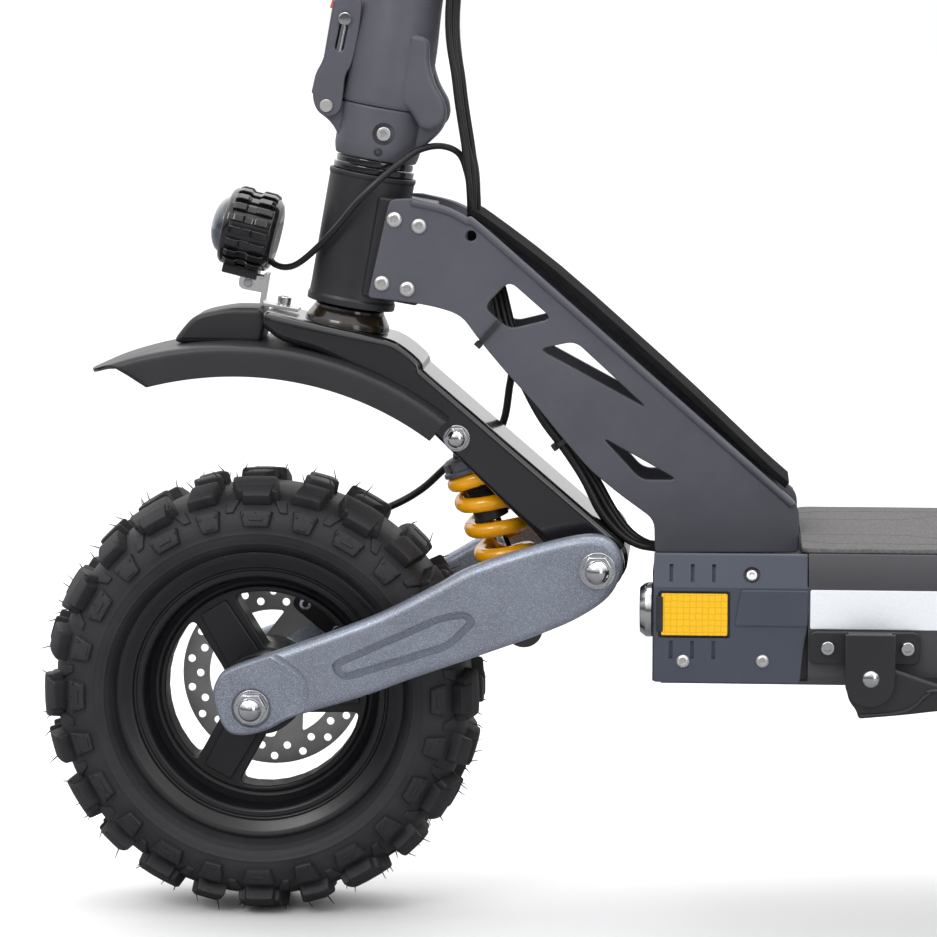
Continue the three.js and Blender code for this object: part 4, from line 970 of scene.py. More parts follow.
def make_tyres():
    outer = smooth(TYRE_SECTION, 6)
    ridges = []
    for y, radius in outer:
        lift = 0.5 if 98.4 < radius < 99.8 or 105.0 < radius < 105.9 else 0.0
        ridges.append((radius, y + lift))
    inner = [
        (86, 30.5), (86.5, 26), (92, 29), (103, 36.5), (113, 36.5), (122, 30), (126.5, 20), (127.5, 0),
    ]
    side_line = ridges + inner[:-1]
    profile = side_line + [inner[-1]] + [(r, -y) for r, y in reversed(side_line[1:])]
    carcass = turned(profile, "Y", 120)
    lugs = []
    half = math.pi * TREAD_MIDDLE / PITCHES
    for side in (1, -1):
        # from and to round the tyre, from and to across it, height, lean, narrowing, edge
        rows = [
            (-17, 15, 19, 37, 8.3, 4, 0.94, 1.6),
            (-12, 12, 30, 40.5, 9.3, 0, 0.84, 1.3),
            (half - 10, half + 9, 22, 38, 8.0, -4, 1.14, 1.5),
            (-13, 13, 44.5, 55.5, 3.6, 0, 0.8, 1.2),
            (half - 10, half + 10, 42.5, 56, 3.6, 0, 0.72, 1.2),
            (-5.6, 5.6, 49.6, 51.8, 4.5, 0, 1, 0.4),
            (half - 3.6, half + 3.6, 52.2, 54, 4.5, 0, 1, 0.4),
            (-11, 7, 2.6, 14.5, 8.4, 5 * side, 0.85, 1.4),
            (half - 8, half + 11, 1.6, 17, 8.4, -5 * side, 0.9, 1.4),
        ]
        for spot in (-9.6, 9.6):
            inward = half + spot * 0.62
            rows.append((spot - 0.9, spot + 0.9, 47, 48.8, 4.5, 0, 1, 0.3))
            rows.append((inward - 0.9, inward + 0.9, 46, 47.8, 4.5, 0, 1, 0.3))
        for edge in (-1, 1):
            middle = half / 2 * edge
            rows.append((middle - 5, middle + 5, 36, 46, 1.6, edge * 4, 0.6, 0.8))
        lugs += [tread_block(u0, u1, side * s0, side * s1, *rest) for u0, u1, s0, s1, *rest in rows]
    tread = ring_of(join(*[wrapped(lug) for lug in lugs]), PITCHES)
    random.seed(7)
    hairs = []
    spots = [(-14, 20), (-13, 35), (12, 35), (11, 21), (half - 7, 24), (half + 7, 36), (-9, 53), (9, 53),
             (half - 6, 54), (half + 6, 46), (-6, 10), (half + 8, 14), (0, 47)]
    for u, s in spots:
        for side in (1, -1):
            length = random.uniform(3.5, 7.0) if s < 40 else random.uniform(2.0, 3.5)
            deselect()
            bpy.ops.mesh.primitive_cone_add(vertices=4, radius1=0.45, radius2=0.18, depth=length)
            hair = bpy.context.object
            lean = Matrix.Rotation(random.uniform(-0.6, 0.6), 4, "Y") @ Matrix.Rotation(
                random.uniform(-0.5, 0.5), 4, "X"
            )
            base = 8.0 if s < 40 else 2.8
            y, radius = tyre_surface(side * s, base)
            y2, radius2 = tyre_surface(side * s, base + 1)
            turn = Vector((0, y2 - y, radius2 - radius)).to_track_quat("Z", "Y").to_matrix().to_4x4()
            swing = Matrix.Rotation(u / TREAD_MIDDLE, 4, "Y")
            lift = Matrix.Translation((0, 0, length / 2 - 0.3))
            moved(hair, swing @ Matrix.Translation((0, y, radius)) @ turn @ lean @ lift)
            hairs.append(hair)
    hairs = ring_of(join(*hairs), PITCHES)
    tyre = join(carcass, tread, hairs)
    tyre = settle(tyre, "front_tyre_knobbly", FRONT, "tyre_rubber", "front_wheel", ["front_tyre"], 38)
    twin = at_rear(tyre, "rear_tyre_knobbly", "rear_wheel", ["rear_tyre"])
    for piece, node in ((tyre, "front_tyre"), (twin, "rear_tyre")):
        low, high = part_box(node)
        for vertex in piece.data.vertices:
            vertex.co.x = min(max(vertex.co.x, low.x), high.x)
            vertex.co.z = min(max(vertex.co.z, low.z), high.z)


def rim_ring():
    """The rim's barrel: stepped flanges, dished walls and a drop centre."""
    half = [
        (84.6, 0), (84.6, 29.6), (87, 30.6), (91.6, 31.0), (92.4, 31.8), (92.2, 32.8), (91.0, 33.0),
        (88.5, 32.2), (83.6, 29.4), (82.2, 28.8), (81.6, 27.0), (80.2, 26.6), (79.6, 28.0),
        (76.8, 27.6), (75.4, 26.4), (73.4, 14.0), (70.0, 9.5), (65.8, 8.2), (65.2, 7.4), (65.2, 0),
    ]
    body = rounded([(r, y) for r, y in half[1:-1]], 0.5, 2)
    profile = body + [(r, -y) for r, y in reversed(body)]
    return turned(profile, "Y", 120)


def spoke_window(half_width, inner, outer, middle, edge):
    """The opening between two of three spokes, round the direction middle, in degrees."""
    def edge_angle(radius):
        return 60 - math.degrees(math.asin(half_width / radius))
    corners = arc(outer, middle - edge_angle(outer), middle + edge_angle(outer), 10)
    corners += arc(inner, middle + edge_angle(inner), middle - edge_angle(inner), 5)
    radii = [0.0] * len(corners)
    for index in (0, 10):
        radii[index] = edge
    for index in (11, 16):
        radii[index] = edge * 0.6
    return rounded(corners, radii, 4)


def make_front_rim():
    windows = [spoke_window(15.5, 27.5, 63.5, 61 + turn, 7.0) for turn in (0, 120, 240)]
    spider = flat(circle(67.5, 90), -11.5, 10.5, windows, bevel=1.6)
    hub = turned(rounded([(8.5, -30), (26, -30), (26, 43), (14, 43), (8.5, 34)], 1.2, 3), "Y", 64)
    outline = rounded([(22, -11.2), (62, -9.6), (62, 9.6), (22, 11.2)], 1.5, 2)
    panel = moved(flat(outline, -14.0, -10.5, bevel=1.0), Matrix.Rotation(-1 * DEG, 4, "Y"))
    rim = join(rim_ring(), spider, hub, ring_of(panel, 3))
    settle(rim, "front_rim_spoked", FRONT, "rim_black", "front_wheel", ["front_rim"])
    bolts = [(19.0 * math.cos(a * DEG), 43.0, 19.0 * math.sin(a * DEG)) for a in range(0, 360, 60)]
    bolts = fastened(socket_screw(3.2, 2.4), bolts, (0, 1, 0))
    settle(bolts, "front_disc_bolts", FRONT, "chrome", "front_wheel")


def make_discs():
    holes = []
    for k in range(36):
        radius = 55.0 if k % 2 else 48.6
        angle = k * 10 * DEG
        holes.append(circle(2.5, 12, (radius * math.cos(angle), radius * math.sin(angle))))
    windows = []
    for k in range(5):
        start = k * 72 + 8
        outline = arc(42.5, start, start + 46, 8) + arc(25.5, start + 64, start + 24, 6)
        radii = [0.0] * len(outline)
        for index in (0, 8, 9, 15):
            radii[index] = 5.0
        windows.append(rounded(outline, radii, 3))
    disc = flat(
        circle(60.0, 96), DISC_OFFSET - 1, DISC_OFFSET + 1, [circle(15.0, 32), *windows, *holes],
        bevel=0.25, steps=1,
    )
    disc = settle(disc, "front_disc_drilled", FRONT, "brushed_steel", "front_wheel", ["front_brake_disc"])
    at_rear(disc, "rear_disc_drilled", "rear_wheel", ["rear_brake_disc"])


def make_hub_motor():
    shell = [
        (9, -31), (24, -31), (27, -29), (30, -26.5), (52, -24.5), (60, -22), (63.5, -17), (66.5, -14),
        (66.5, 14), (63.5, 17), (60, 22), (52, 24.5), (30, 26.5), (26, 30), (26, 43), (14, 43), (9, 34),
    ]
    motor = turned(rounded(shell, 1.5, 3), "Y", 96)
    fin = block(33, 58, -27.2, -24.0, -1.1, 1.1, 0.5)
    motor = join(rim_ring(), motor, ring_of(fin, 24))
    settle(motor, "rear_hub_motor_finned", REAR, "rim_black", "rear_wheel", ["rear_hub_motor"])
    spots = [(45.0 * math.cos(a * DEG), 25.2, 45.0 * math.sin(a * DEG)) for a in range(0, 360, 45)]
    bolts = fastened(socket_screw(3.0, 2.2), spots, (0, 1, 0))
    settle(bolts, "rear_motor_bolts", REAR, "chrome", "rear_wheel")


# ---------- swing arms and axles ----------
ARM_OUTLINE = [
    (-24.5, 5.5), (-22.0, 17.0), (-15.0, 24.0), (7.0, 32.5), (46.0, 46.6), (81.0, 60.5), (115.0, 78.0),
    (137.0, 90.0), (176.0, 103.5), (208.0, 111.0), (223.5, 108.5), (231.0, 98.5), (231.0, 87.0),
    (223.0, 72.0), (205.0, 59.0), (182.0, 48.5), (147.0, 35.5), (102.0, 19.5), (69.0, 7.0),
    (27.0, -6.0), (10.0, -14.5), (-6.0, -18.4), (-17.5, -14.0),
]
ARM_POCKET = [(52, 28.0), (119, 58.5), (134, 61.0), (139, 56.5), (124, 41), (58, 20.0)]


def arm_casting():
    """The left arm: a thick cast plate with well rounded edges, a stepped boss and a grooved pocket."""
    arm = flat(smooth(ARM_OUTLINE, 5, True), -ARM_OUTER, -ARM_INNER, bevel=6.4, steps=5)
    ring = flat(
        rounded(grown(ARM_POCKET, 2.4), 8.0, 5), -ARM_OUTER - 4, -ARM_OUTER + 3.8,
        [rounded(grown(ARM_POCKET, -2.4), 5.0, 5)],
    )
    inset = flat(rounded(ARM_POCKET, 6.0, 5), -ARM_OUTER - 4, -ARM_OUTER + 1.0)
    chevron = rounded([(10.5, 33), (30.5, 20.5), (34.0, 11.5), (27, -8)], [0, 5, 5, 0], 4)
    around_boss = [(-60, 70), (4, 46), *chevron, (22, -24), (-60, -60)]
    step = flat(around_boss, -ARM_OUTER - 4, -ARM_OUTER + 1.7)
    edge = rounded([(11.5, 36), (31.4, 20.5), (34.8, 11.5), (27.6, -9)], [0, 5, 5, 0], 4)
    groove = tube([(x, -ARM_OUTER - 0.4, z) for x, z in edge], 2.6, 4, straight=True)
    recess = rod((0, -ARM_OUTER - 4, 0), (0, -ARM_OUTER + 3.4, 0), 12.6, 0.0, 48)
    arm = cut(arm, ring, inset, step, groove, recess)
    return bevelled(arm, 1.0, 3, 40)


def grown(outline, reach):
    """An outline moved outwards by reach from its own middle line."""
    points = [Vector(p) for p in outline]
    area = sum(a.x * b.y - b.x * a.y for a, b in zip(points, points[1:] + points[:1]))
    sign = 1 if area > 0 else -1
    result = []
    for i, point in enumerate(points):
        back = (point - points[i - 1]).normalized()
        on = (points[(i + 1) % len(points)] - point).normalized()
        out = Vector((back.y + on.y, -back.x - on.x)).normalized() * sign
        share = max(0.5, out.dot(Vector((on.y, -on.x)) * sign))
        result.append(tuple(point + out * (reach / share)))
    return result


def make_arms():
    arm = settle(arm_casting(), "front_arm_left_cast", FRONT, "arm_paint", "front_arm", ["front_arm_left"])
    mirrored(arm, "front_arm_right_cast", "front_arm", ["front_arm_right"])
    rear_left = at_rear(arm, "rear_arm_left_cast", "rear_arm", ["rear_arm_left"])
    mirrored(rear_left, "rear_arm_right_cast", "rear_arm", ["rear_arm_right"])
    x, z = PIVOT
    nuts = nuts_on_bolt(PIVOT, -ARM_OUTER + 0.2, ARM_OUTER - 0.2, 18.5, 13.0)
    bolt = rod((x, -ARM_OUTER, z), (x, ARM_OUTER, z), 6.0)
    pieces = settle(join(nuts, bolt), "front_pivot_bolt", FRONT, "chrome", "front_arm")
    at_rear(pieces, "rear_pivot_bolt", "rear_arm")
    x, z = SHOCK_FOOT
    ends = [(12, -ARM_INNER - 1), (12, -14.5), (10.5, -13), (5, -13), (5, 13), (10.5, 13), (12, 14.5),
            (12, ARM_INNER + 1), (0, ARM_INNER + 1), (0, -ARM_INNER - 1)]
    bridge = moved(turned(ends, "Y", 32), Matrix.Translation((x, 0, z)))
    lug = rounded([(x - 13, z - 9), (x - 4, z + 11), (x + 9, z + 13), (x + 14, z - 3)], 4)
    plate = flat(lug, -ARM_INNER - 1, -21, bevel=2.0)
    bridge = join(bridge, plate, copied(plate, MIRROR))
    bridge = settle(bridge, "front_arm_bridge", FRONT, "gloss_black", "front_arm")
    at_rear(bridge, "rear_arm_bridge", "rear_arm")


def make_axles():
    shaft = rod((0, -ARM_OUTER, 0), (0, ARM_OUTER, 0), 7.4, 0.5, 24)
    spacers = [
        rod((0, sign * 31, 0), (0, sign * (ARM_INNER - 0.4), 0), 12.5, 1.0, 32) for sign in (-1, 1)
    ]
    nuts = nuts_on_bolt((0, 0), -ARM_OUTER + 3.2, ARM_OUTER - 2.3, 18.0, 13.5)
    axle = join(shaft, *spacers, nuts)
    axle = settle(axle, "front_axle_and_nuts", FRONT, "chrome", "front_arm", ["front_axle"])
    at_rear(axle, "rear_axle_and_nuts", "rear_arm", ["rear_axle"])


# ---------- pieces that start from the CAD model's own shape ----------
IN_PLACE = Matrix.Identity(4)  # such a copy is in metres and in place already


def refined_copy(node, edge=0.8, segments=2, angle=30):
    """A copy of a CAD node's mesh, merged, in metres and in place, with its edges softened."""
    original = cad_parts[node]
    piece = copied(original)
    moved(piece, original.matrix_world)
    piece.hide_render = False
    piece.hide_viewport = False
    only(piece)
    bpy.ops.object.mode_set(mode="EDIT")
    bpy.ops.mesh.select_all(action="SELECT")
    bpy.ops.mesh.remove_doubles(threshold=0.00001)
    bpy.ops.mesh.dissolve_limited(angle_limit=1 * DEG)
    bpy.ops.mesh.normals_make_consistent(inside=False)
    bpy.ops.object.mode_set(mode="OBJECT")
    return bevelled(piece, edge * MM, segments, angle)


# ---------- shocks ----------
SPRING_TOP = -25.3  # the spring's seats, along the shock from its upper eye
SPRING_FOOT = -90.7


def make_shocks():
    place = FRONT @ SHOCK
    foot = -SHOCK_LENGTH
    sizes = bpy.context.scene.scooter_sizes
    eye = turned(rounded([(4, -11), (11, -11), (11, 11), (4, 11)], 1.2, 3), "Y", 48)
    sleeve = turned(
        rounded([(6, -8), (10, -12), (10, -50), (11, -52), (11, -59), (0, -59), (0, -8)][::-1], 1.0, 3),
        "Z", 48,
    )
    threads = [(9.6, -27)]
    for k in range(18):
        z = -27 - k * 1.4
        threads += [(10.7, z - 0.5), (10.0, z - 1.1)]
    threads += [(9.6, -53)]
    shock = join(eye, sleeve, turned(threads, "Z", 40))
    shock = settle(shock, "front_shock_damper", place, "satin_black", "front_shock", ["front_shock_body"])
    at_rear(shock, "rear_shock_damper", "rear_shock", ["rear_shock_body"])
    seat = [
        (10.5, -14.5), (15.5, -14.5), (18, -16.5), (18, -21.5), (19.6, -22.5), (19.6, SPRING_TOP + 0.1),
        (10.5, SPRING_TOP + 0.1),
    ]
    ring = turned(rounded(seat, 0.6, 2), "Z", 64)
    notch = block(16.4, 20, -1.6, 1.6, -22, -16, 0)
    ring = cut(ring, ring_of(notch, 8, (0, 0, 1)))
    ring = settle(ring, "front_shock_preload_ring", place, "cast_grey", "front_shock")
    at_rear(ring, "rear_shock_preload_ring", "rear_shock")

    wire = sizes.coil_wire / MM / 2
    middle = 20.0 - wire
    high, low = SPRING_TOP - wire, SPRING_FOOT + wire
    turns = sizes.coil_turns + 1.2
    line = []
    count = int(turns * 28)
    for k in range(count + 1):
        turn = k / count * turns
        share = min(1.0, max(0.0, (turn - 0.6) / (turns - 1.2)))
        angle = turn * 2 * math.pi + 1.1
        line.append((middle * math.cos(angle), middle * math.sin(angle), high + (low - high) * share))
    coil = tube(line, wire, 5, straight=True)
    coil = settle(coil, "front_coil_spring", place, "spring_paint", "front_shock", ["front_spring"], 50)
    twin = at_rear(coil, "rear_coil_spring", "rear_shock", ["rear_spring"])
    for piece, unit, joint in ((coil, FRONT, "front_shock_stroke"), (twin, REAR, "rear_shock_stroke")):
        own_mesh(piece)

    cup = turned(
        rounded([(5, -90.8), (19.5, -90.8), (19.5, -94), (14, -97), (5, -97)], 0.7, 2), "Z", 64
    )
    lower = turned(rounded([(0, -96), (7, -96), (7, -115), (0, -115)], [0, 1, 1, 0], 3), "Z", 40)
    foot_eye = turned(rounded([(4.6, -11), (11, -11), (11, 11), (4.6, 11)], 1.2, 3), "Y", 48)
    moved(foot_eye, Matrix.Translation((0, 0, foot)))
    cup = settle(join(cup, lower, foot_eye), "front_shock_foot", place, "satin_black", "front_shock_rod",
                 ["front_shock_rod"])
    at_rear(cup, "rear_shock_foot", "rear_shock_rod", ["rear_shock_rod"])
    shaft = settle(rod((0, 0, -52), (0, 0, -93), 5, 0.3), "front_shock_shaft", place, "chrome",
                   "front_shock_rod")
    at_rear(shaft, "rear_shock_shaft", "rear_shock_rod")


def make_calipers():
    """Mechanical disc calipers with their pull arms, bolts and fins."""
    for end, place, arm in (("front", FRONT, "front_arm"), ("rear", REAR, "rear_arm")):
        body = refined_copy(end + "_caliper", 1.6, 3)
        settle(body, end + "_caliper_body", IN_PLACE, "satin_black", arm, [end + "_caliper"])
        lever = refined_copy(end + "_caliper_arm", 0.7, 2)
        settle(lever, end + "_caliper_lever", IN_PLACE, "bright_steel", end + "_caliper_arm",
               [end + "_caliper_arm"])
        turn = place @ Matrix.Rotation(-50 * DEG, 4, "Y")
        spots = [(51, 37.4, 14), (75, 37.4, 14), (51, 37.4, -14), (75, 37.4, -14)]
        bolts = fastened(socket_screw(4.2, 3.0, True), spots, (0, -1, 0))
        settle(bolts, end + "_caliper_bolts", turn, "chrome", arm)
        fins = join(*[block(z, z + 2.2, 37, 42, 19.5, 23.0, 0.5) for z in (50, 56, 62, 68)])
        settle(fins, end + "_caliper_fins", turn, "satin_black", arm)


# ---------- fork, fender and headlight ----------
LEG_ROOT = Vector((33.0, -33.0))


def make_fork():
    x, z = PIVOT
    above = (x - HEAD_FOOT[0], z + WHEEL_RADIUS - HEAD_FOOT[1])
    pivot = Vector((
        above[0] * math.cos(RAKE) - above[1] * math.sin(RAKE),
        above[0] * math.sin(RAKE) + above[1] * math.cos(RAKE),
    ))
    way = (pivot - LEG_ROOT).normalized()
    up = Vector((-way.y, way.x))
    length = (pivot - LEG_ROOT).length

    def leg(along, above):
        return tuple(LEG_ROOT + way * along + up * above)

    heading = math.degrees(math.atan2(way.y, way.x))
    tip = arc(LEG_RADIUS + 0.6, heading + 90, heading - 90, 14, tuple(pivot))
    outline = rounded(
        [leg(46, -17.3), (46, -54), (15, -39), (-13, -30.5), (-38, -28), (-51, -20.5), (-51, -10.8),
         (-16, -12.6), (33, -14.2), leg(3, 17.6), leg(14, 17.3)],
        [8, 12, 12, 8, 6, 4, 4, 8, 10, 18, 4], 6,
    ) + tip
    fork = flat(outline, -LEG_HALF_WIDTH, LEG_HALF_WIDTH, bevel=5.0, steps=5)
    hollow = rounded([leg(24, 11), leg(length - 22, 11), leg(length - 22, -40), leg(24, -40)], 5)
    fork = cut(fork, flat(hollow, -26, 26, bevel=1.5))
    bevelled(fork, 0.8, 2, 50)
    steerer = [(0, -15), (23.6, -15), (22, -1.2), (15, -0.8), (15, 114), (0, 114)]
    steerer = turned(rounded(steerer, [0, 1, 1, 0.5, 0.5, 0], 3), "Z", 64)
    collar = moved(turned(rounded([(6, -57), (16, -57), (16, 57), (6, 57)], 1.2, 3), "Y", 48),
                   Matrix.Translation((pivot.x, 0, pivot.y)))
    settle(join(fork, steerer, collar), "fork_welded", HEAD, "gloss_black", "fork", ["fork"], 40)
    x, z = SHOCK_TOP
    nuts = nuts_on_bolt(SHOCK_TOP, -LEG_HALF_WIDTH + 0.4, LEG_HALF_WIDTH - 0.4, 13.5, 8.0)
    pin = rod((x, -LEG_HALF_WIDTH, z), (x, LEG_HALF_WIDTH, z), 4)
    settle(join(nuts, pin), "front_shock_pin", FRONT, "chrome", "fork")
    # A near-black brown glossy ring round the crown race, in the gap between the fork crown and the head
    # tube.
    race = turned(rounded([(22.5, -13.5), (27.5, -13.5), (26.5, -9.5), (22.5, -3.0)], 1.0, 2), "Z", 64)
    settle(race, "fork_crown_race_dark", HEAD, "crown_race_dark", "fork")


def fender_shell(front, back, cut_front, cut_back, radius=222.5, lift=0.0, wall=24.0):
    """A fender round the axle: flat sides, a crowned top and slanted ends. Angles are from upright;
    cut_front and cut_back are how far the sides stop short of the middle, and lift is how much
    further from the axle the front end stands."""
    outer = [(-wall, -47.5), (-8, -48), (-3.4, -46.4), (-1.6, -42), (-0.7, -24), (0, 0)]
    outer = smooth(outer + [(r, -y) for r, y in reversed(outer[:-1])], 3)
    inner = [(-wall, 44.9), (-8, 45.4), (-5.8, 43.6), (-4.4, 38), (-3.4, 22), (-2.8, 0)]
    inner = smooth(inner + [(r, -y) for r, y in reversed(inner[:-1])], 3)
    section = [(radius + r, y) for r, y in outer + inner]
    shell = turned(section, "Y", 48, back - front, front)
    for vertex in shell.data.vertices:
        x, y, z = vertex.co
        angle = math.degrees(math.atan2(x, z))
        share = (angle - front) / (back - front)
        reach = math.hypot(x, z)
        down = min(1.0, max(0.0, (radius - reach) / wall))
        side = min(1.0, abs(y) / 48) ** 2 * (0.45 + 0.55 * down)
        angle += (cut_front * (1 - share) ** 3 - cut_back * share**3) * side
        reach += lift * (1 - 1.55 * share) + (6.5 * share * down if lift else 0)
        vertex.co = (reach * math.sin(angle * DEG), y, reach * math.cos(angle * DEG))
    return bevelled(shell, 0.5, 2, 50)


def make_front_fender():
    shell = fender_shell(-28, 34.5, 10, 1.0, lift=11.0)
    riser = [
        (-56, 224), (-48, 234.5), (-42, 240.8), (-34, 243.6), (-18, 246.6), (1, 246.2), (4, 236), (0, 224),
    ]
    riser = flat(rounded(riser, [6, 8, 5, 6, 6, 3, 3, 3]), -21, 21, bevel=3.4, steps=4)
    settle(join(shell, riser), "front_fender_moulded", FRONT, "matte_plastic", "fork", ["front_fender"], 45)


LAMP_MIDDLE = (-6.9, 0, 436.6)
LAMP_TILT = 14 * DEG  # the lamp's beam above the level


def make_headlight():
    """The lamp is modelled with its beam up; its strap and slots stand in the lamp's own lean."""
    low = GROUND @ Matrix.Translation(LAMP_MIDDLE) @ Matrix.Rotation(LAMP_TILT, 4, "Y")
    lamp = low @ Matrix.Rotation(-90 * DEG, 4, "Y")
    profile = [
        (0, -17.5), (16, -17.5), (21, -16.0), (23.4, -13.6), (23.6, 11.5), (24.4, 12.4), (24.4, 14.6),
        (22.6, 16.6), (19.4, 17.4), (18.6, 15.6), (0, 15.0),
    ]
    body = turned(rounded(profile, 0.8, 3), "Z", 72)
    outline = [
        (20, -13.2), (25.4, -13.2), (26.6, -10.6), (26.6, -3.4), (25.0, -1.8), (25.0, 3.0), (26.6, 4.6),
        (26.6, 10.2), (25.4, 12.6), (20, 12.6),
    ]
    fin = flat(rounded(outline, 0.5, 2), -2.3, 2.3, bevel=0.6)
    first, last = 216, 504  # the strap stands where the ring of fins is left open
    fins = [copied(fin, Matrix.Rotation(turn * DEG, 4, "Z")) for turn in range(first, last + 1, 18)]
    bpy.data.objects.remove(fin)
    slots = [block(-10, 10, y - 1.1, y + 1.1, -19, -15.8, 0) for y in (-12, -7.2, -2.4, 2.4, 7.2, 12)]
    body = cut(body, join(*slots))
    settle(join(body, *fins), "headlight_finned", lamp, "lamp_black", "headlight", ["headlight"], 35)
    dome = [(0, 15.2), (18.4, 15.2)]
    dome += [(18.4 * math.cos(a * DEG), 16.0 + 9.6 * math.sin(a * DEG)) for a in range(0, 90, 9)]
    settle(turned(dome + [(0, 25.6)], "Z", 64), "headlight_lens", lamp, "lens", "headlight")
    strap = block(-12, 11, -9, 9, -29.4, -22.8, 0.9)
    settle(strap, "headlight_strap", low, "lamp_black", "headlight")

    bend = [(-56.6, 10.5), (-56.6, -10.3), (-31.5, -10.3), (-31.5, -8.1), (-54.4, -8.1), (-54.4, 10.5)]
    strip = flat(rounded(bend, [0.6, 2.6, 0.6, 0.6, 1.4, 0.6], 3), -8.5, 8.5, bevel=0.3, steps=1)
    ear = rounded([(-72, -2), (-55, -2), (-55, 8), (-72, 8)], [5, 0.5, 0.5, 5])
    ears = [flat(ear, y - 1, y + 1, bevel=0.3) for y in (-7.2, 7.2)]
    settle(join(strip, *ears), "headlight_bracket_bent", HEAD, "bright_steel", "fork", ["headlight_bracket"])
    screw = fastened(socket_screw(4.4, 5.6, True), [(-42.0, 0, -8.2)], (0, 0, 1))
    pin = rod((-66, -9.6, 3), (-66, 9.6, 3), 3.0, 0.8)
    settle(join(screw, pin), "headlight_bracket_bolts", HEAD, "chrome", "fork")


# ---------- head tube, folding joint, stem ----------
def make_head_tube():
    profile = [(20.4, 0.3), (28.0, 0.3), (28.0, 4.6), (27.2, 5.6), (27.0, 12), (27.0, 81.4), (27.6, 82.2),
               (27.6, 84.8), (20.4, 84.8)]
    tube_piece = turned(rounded(profile, 0.8, 3), "Z", 96)
    boss = block(8, 44, -27.7, 27.7, 9, 73, 2.2, 3)
    boss = cut(boss, rod((0, 0, 0), (0, 0, 90), 21.5, 0.0, 48))
    settle(join(tube_piece, boss), "head_tube_welded", HEAD, "satin_black", "frame", ["head_tube"], 40)
    inverse = HEAD.inverted()
    bearing = [inverse @ vertex.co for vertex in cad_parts["headset_bearing"].data.vertices]
    bottom = min(spot.z for spot in bearing)
    top = max(spot.z for spot in bearing)
    wide = max(spot.xy.length for spot in bearing)
    step = (top - bottom) / 5
    cup = rounded(
        [(15.6, bottom), (wide, bottom), (wide, bottom + step * 1.7), (wide - 2.2, bottom + step * 1.9),
         (wide - 2.2, bottom + step * 2.3), (wide - 0.4, bottom + step * 2.5), (wide - 0.4, top),
         (15.6, top)], 0.4, 2,
    )
    settle(turned(cup, "Z", 72), "headset_rings", HEAD, "satin_black", "frame", ["headset_bearing"])
    rings = [
        turned(rounded([(15.4, z), (r, z), (r, z + 3.9), (15.4, z + 3.9)], 0.8, 2), "Z", 64)
        for z, r in ((max(top, 85.0) + 0.2, 25.6), (89.6, 24.4))
    ]
    settle(join(*rings), "steerer_spacers", HEAD, "gloss_black", "fork")


def make_fold_base():
    casting = turned(
        rounded([(15.2, 94.2), (25.4, 94.2), (26.4, 97), (27.2, 101), (27.2, 126.2), (26.4, 127.2),
                 (15.2, 127.2)], [0.3, 1.2, 2, 2, 1.2, 0.8, 0.3], 3),
        "Z", 96,
    )
    knuckle = [
        (14, 100), (27, 104), (37.5, 117.5), (40.2, 127), (36.5, 137.5), (26, 139), (18, 134), (14, 124),
    ]
    knuckle = flat(rounded(knuckle, [3, 8, 8, 8, 8, 8, 5, 3], 5), -12, 12, bevel=1.8, steps=3)
    lug = [(-20, 98), (-30, 112), (-40.5, 117.5), (-40.5, 126.6), (-20, 126.6)]
    lug = flat(rounded(lug, [3, 8, 5, 3, 3], 5), -11, 11, bevel=1.2, steps=2)
    recess = rod((4.5, -32, 111.5), (4.5, -23.6, 111.5), 7.0, 0.0, 40)
    casting = cut(casting, recess)
    bevelled(casting, 0.7, 2, 45)
    settle(join(casting, knuckle, lug), "fold_base_cast", HEAD, "cast_grey", "fork", ["fold_base"], 40)
    screw = fastened(socket_screw(4.4, 3.0, True), [(4.5, -24.0, 111.5)], (0, -1, 0))
    settle(screw, "fold_base_screw", HEAD, "bright_steel", "fork")
    small = fastened(socket_screw(2.6, 2.0, True), [(3.0, -25.6, 99.8)], (0, -1, 0))
    settle(small, "fold_base_set_screw", HEAD, "satin_black", "fork")
    pins = join(
        rod((28, -23.0, 127), (28, 23.0, 127), 5.4, 0.8), rod((-35, -16.4, 122), (-35, 16.4, 122), 4.1, 0.8)
    )
    settle(pins, "fold_pins", HEAD, "bright_steel", "fork")


def make_fold_lever():
    outline = smooth(
        [(-37.8, 190), (-25.5, 190.6), (-23.4, 184), (-22.8, 168.5), (-23.8, 151), (-26.4, 142.4),
         (-25.8, 130), (-26.4, 120), (-33, 115.4), (-40, 118), (-44.4, 126), (-45, 136.5), (-41.2, 147.5),
         (-40.5, 160), (-40.6, 172.7), (-40.4, 184)], 4, True,
    )
    slot = rounded([(-36.0, 157), (-35.2, 182), (-29.6, 182), (-30.4, 157)], 2.6, 4)
    plates = [flat(outline, -14.8, -11.5, [slot], bevel=0.7), flat(outline, 11.5, 14.8, [slot], bevel=0.7)]
    bridge = [
        (-46, 128), (-45.4, 141), (-42, 150), (-42, 188), (-39.6, 188), (-39.2, 150), (-42.4, 141),
        (-43, 128),
    ]
    bridge = flat(rounded(bridge, [1.2, 4, 4, 1.2, 1.2, 4, 4, 1.2], 4), -13, 13, bevel=0.9)
    settle(join(*plates, bridge), "fold_lever_pressed", HEAD, "cast_grey", "fold_lever", ["fold_lever"])
    catch = rod((-32.4, -17.2, 177.5), (-32.4, 17.2, 177.5), 4.2, 1.0)
    rails = [rod((-32.6, y, 173), (-33.4, y, 152), 2.2, 0.4) for y in (-12.6, 12.6)]
    caps = join(catch, *rails)
    settle(caps, "fold_lever_pins", HEAD, "chrome", "fold_lever")
    tag = rounded([(-44.2, 182), (-42.4, 193.5), (-37.8, 193.5), (-38.8, 184)], 1.2, 3)
    tag = flat(tag, -7, 7, bevel=0.6)
    settle(tag, "fold_lever_safety_tab", HEAD, "safety_orange", "fold_lever")


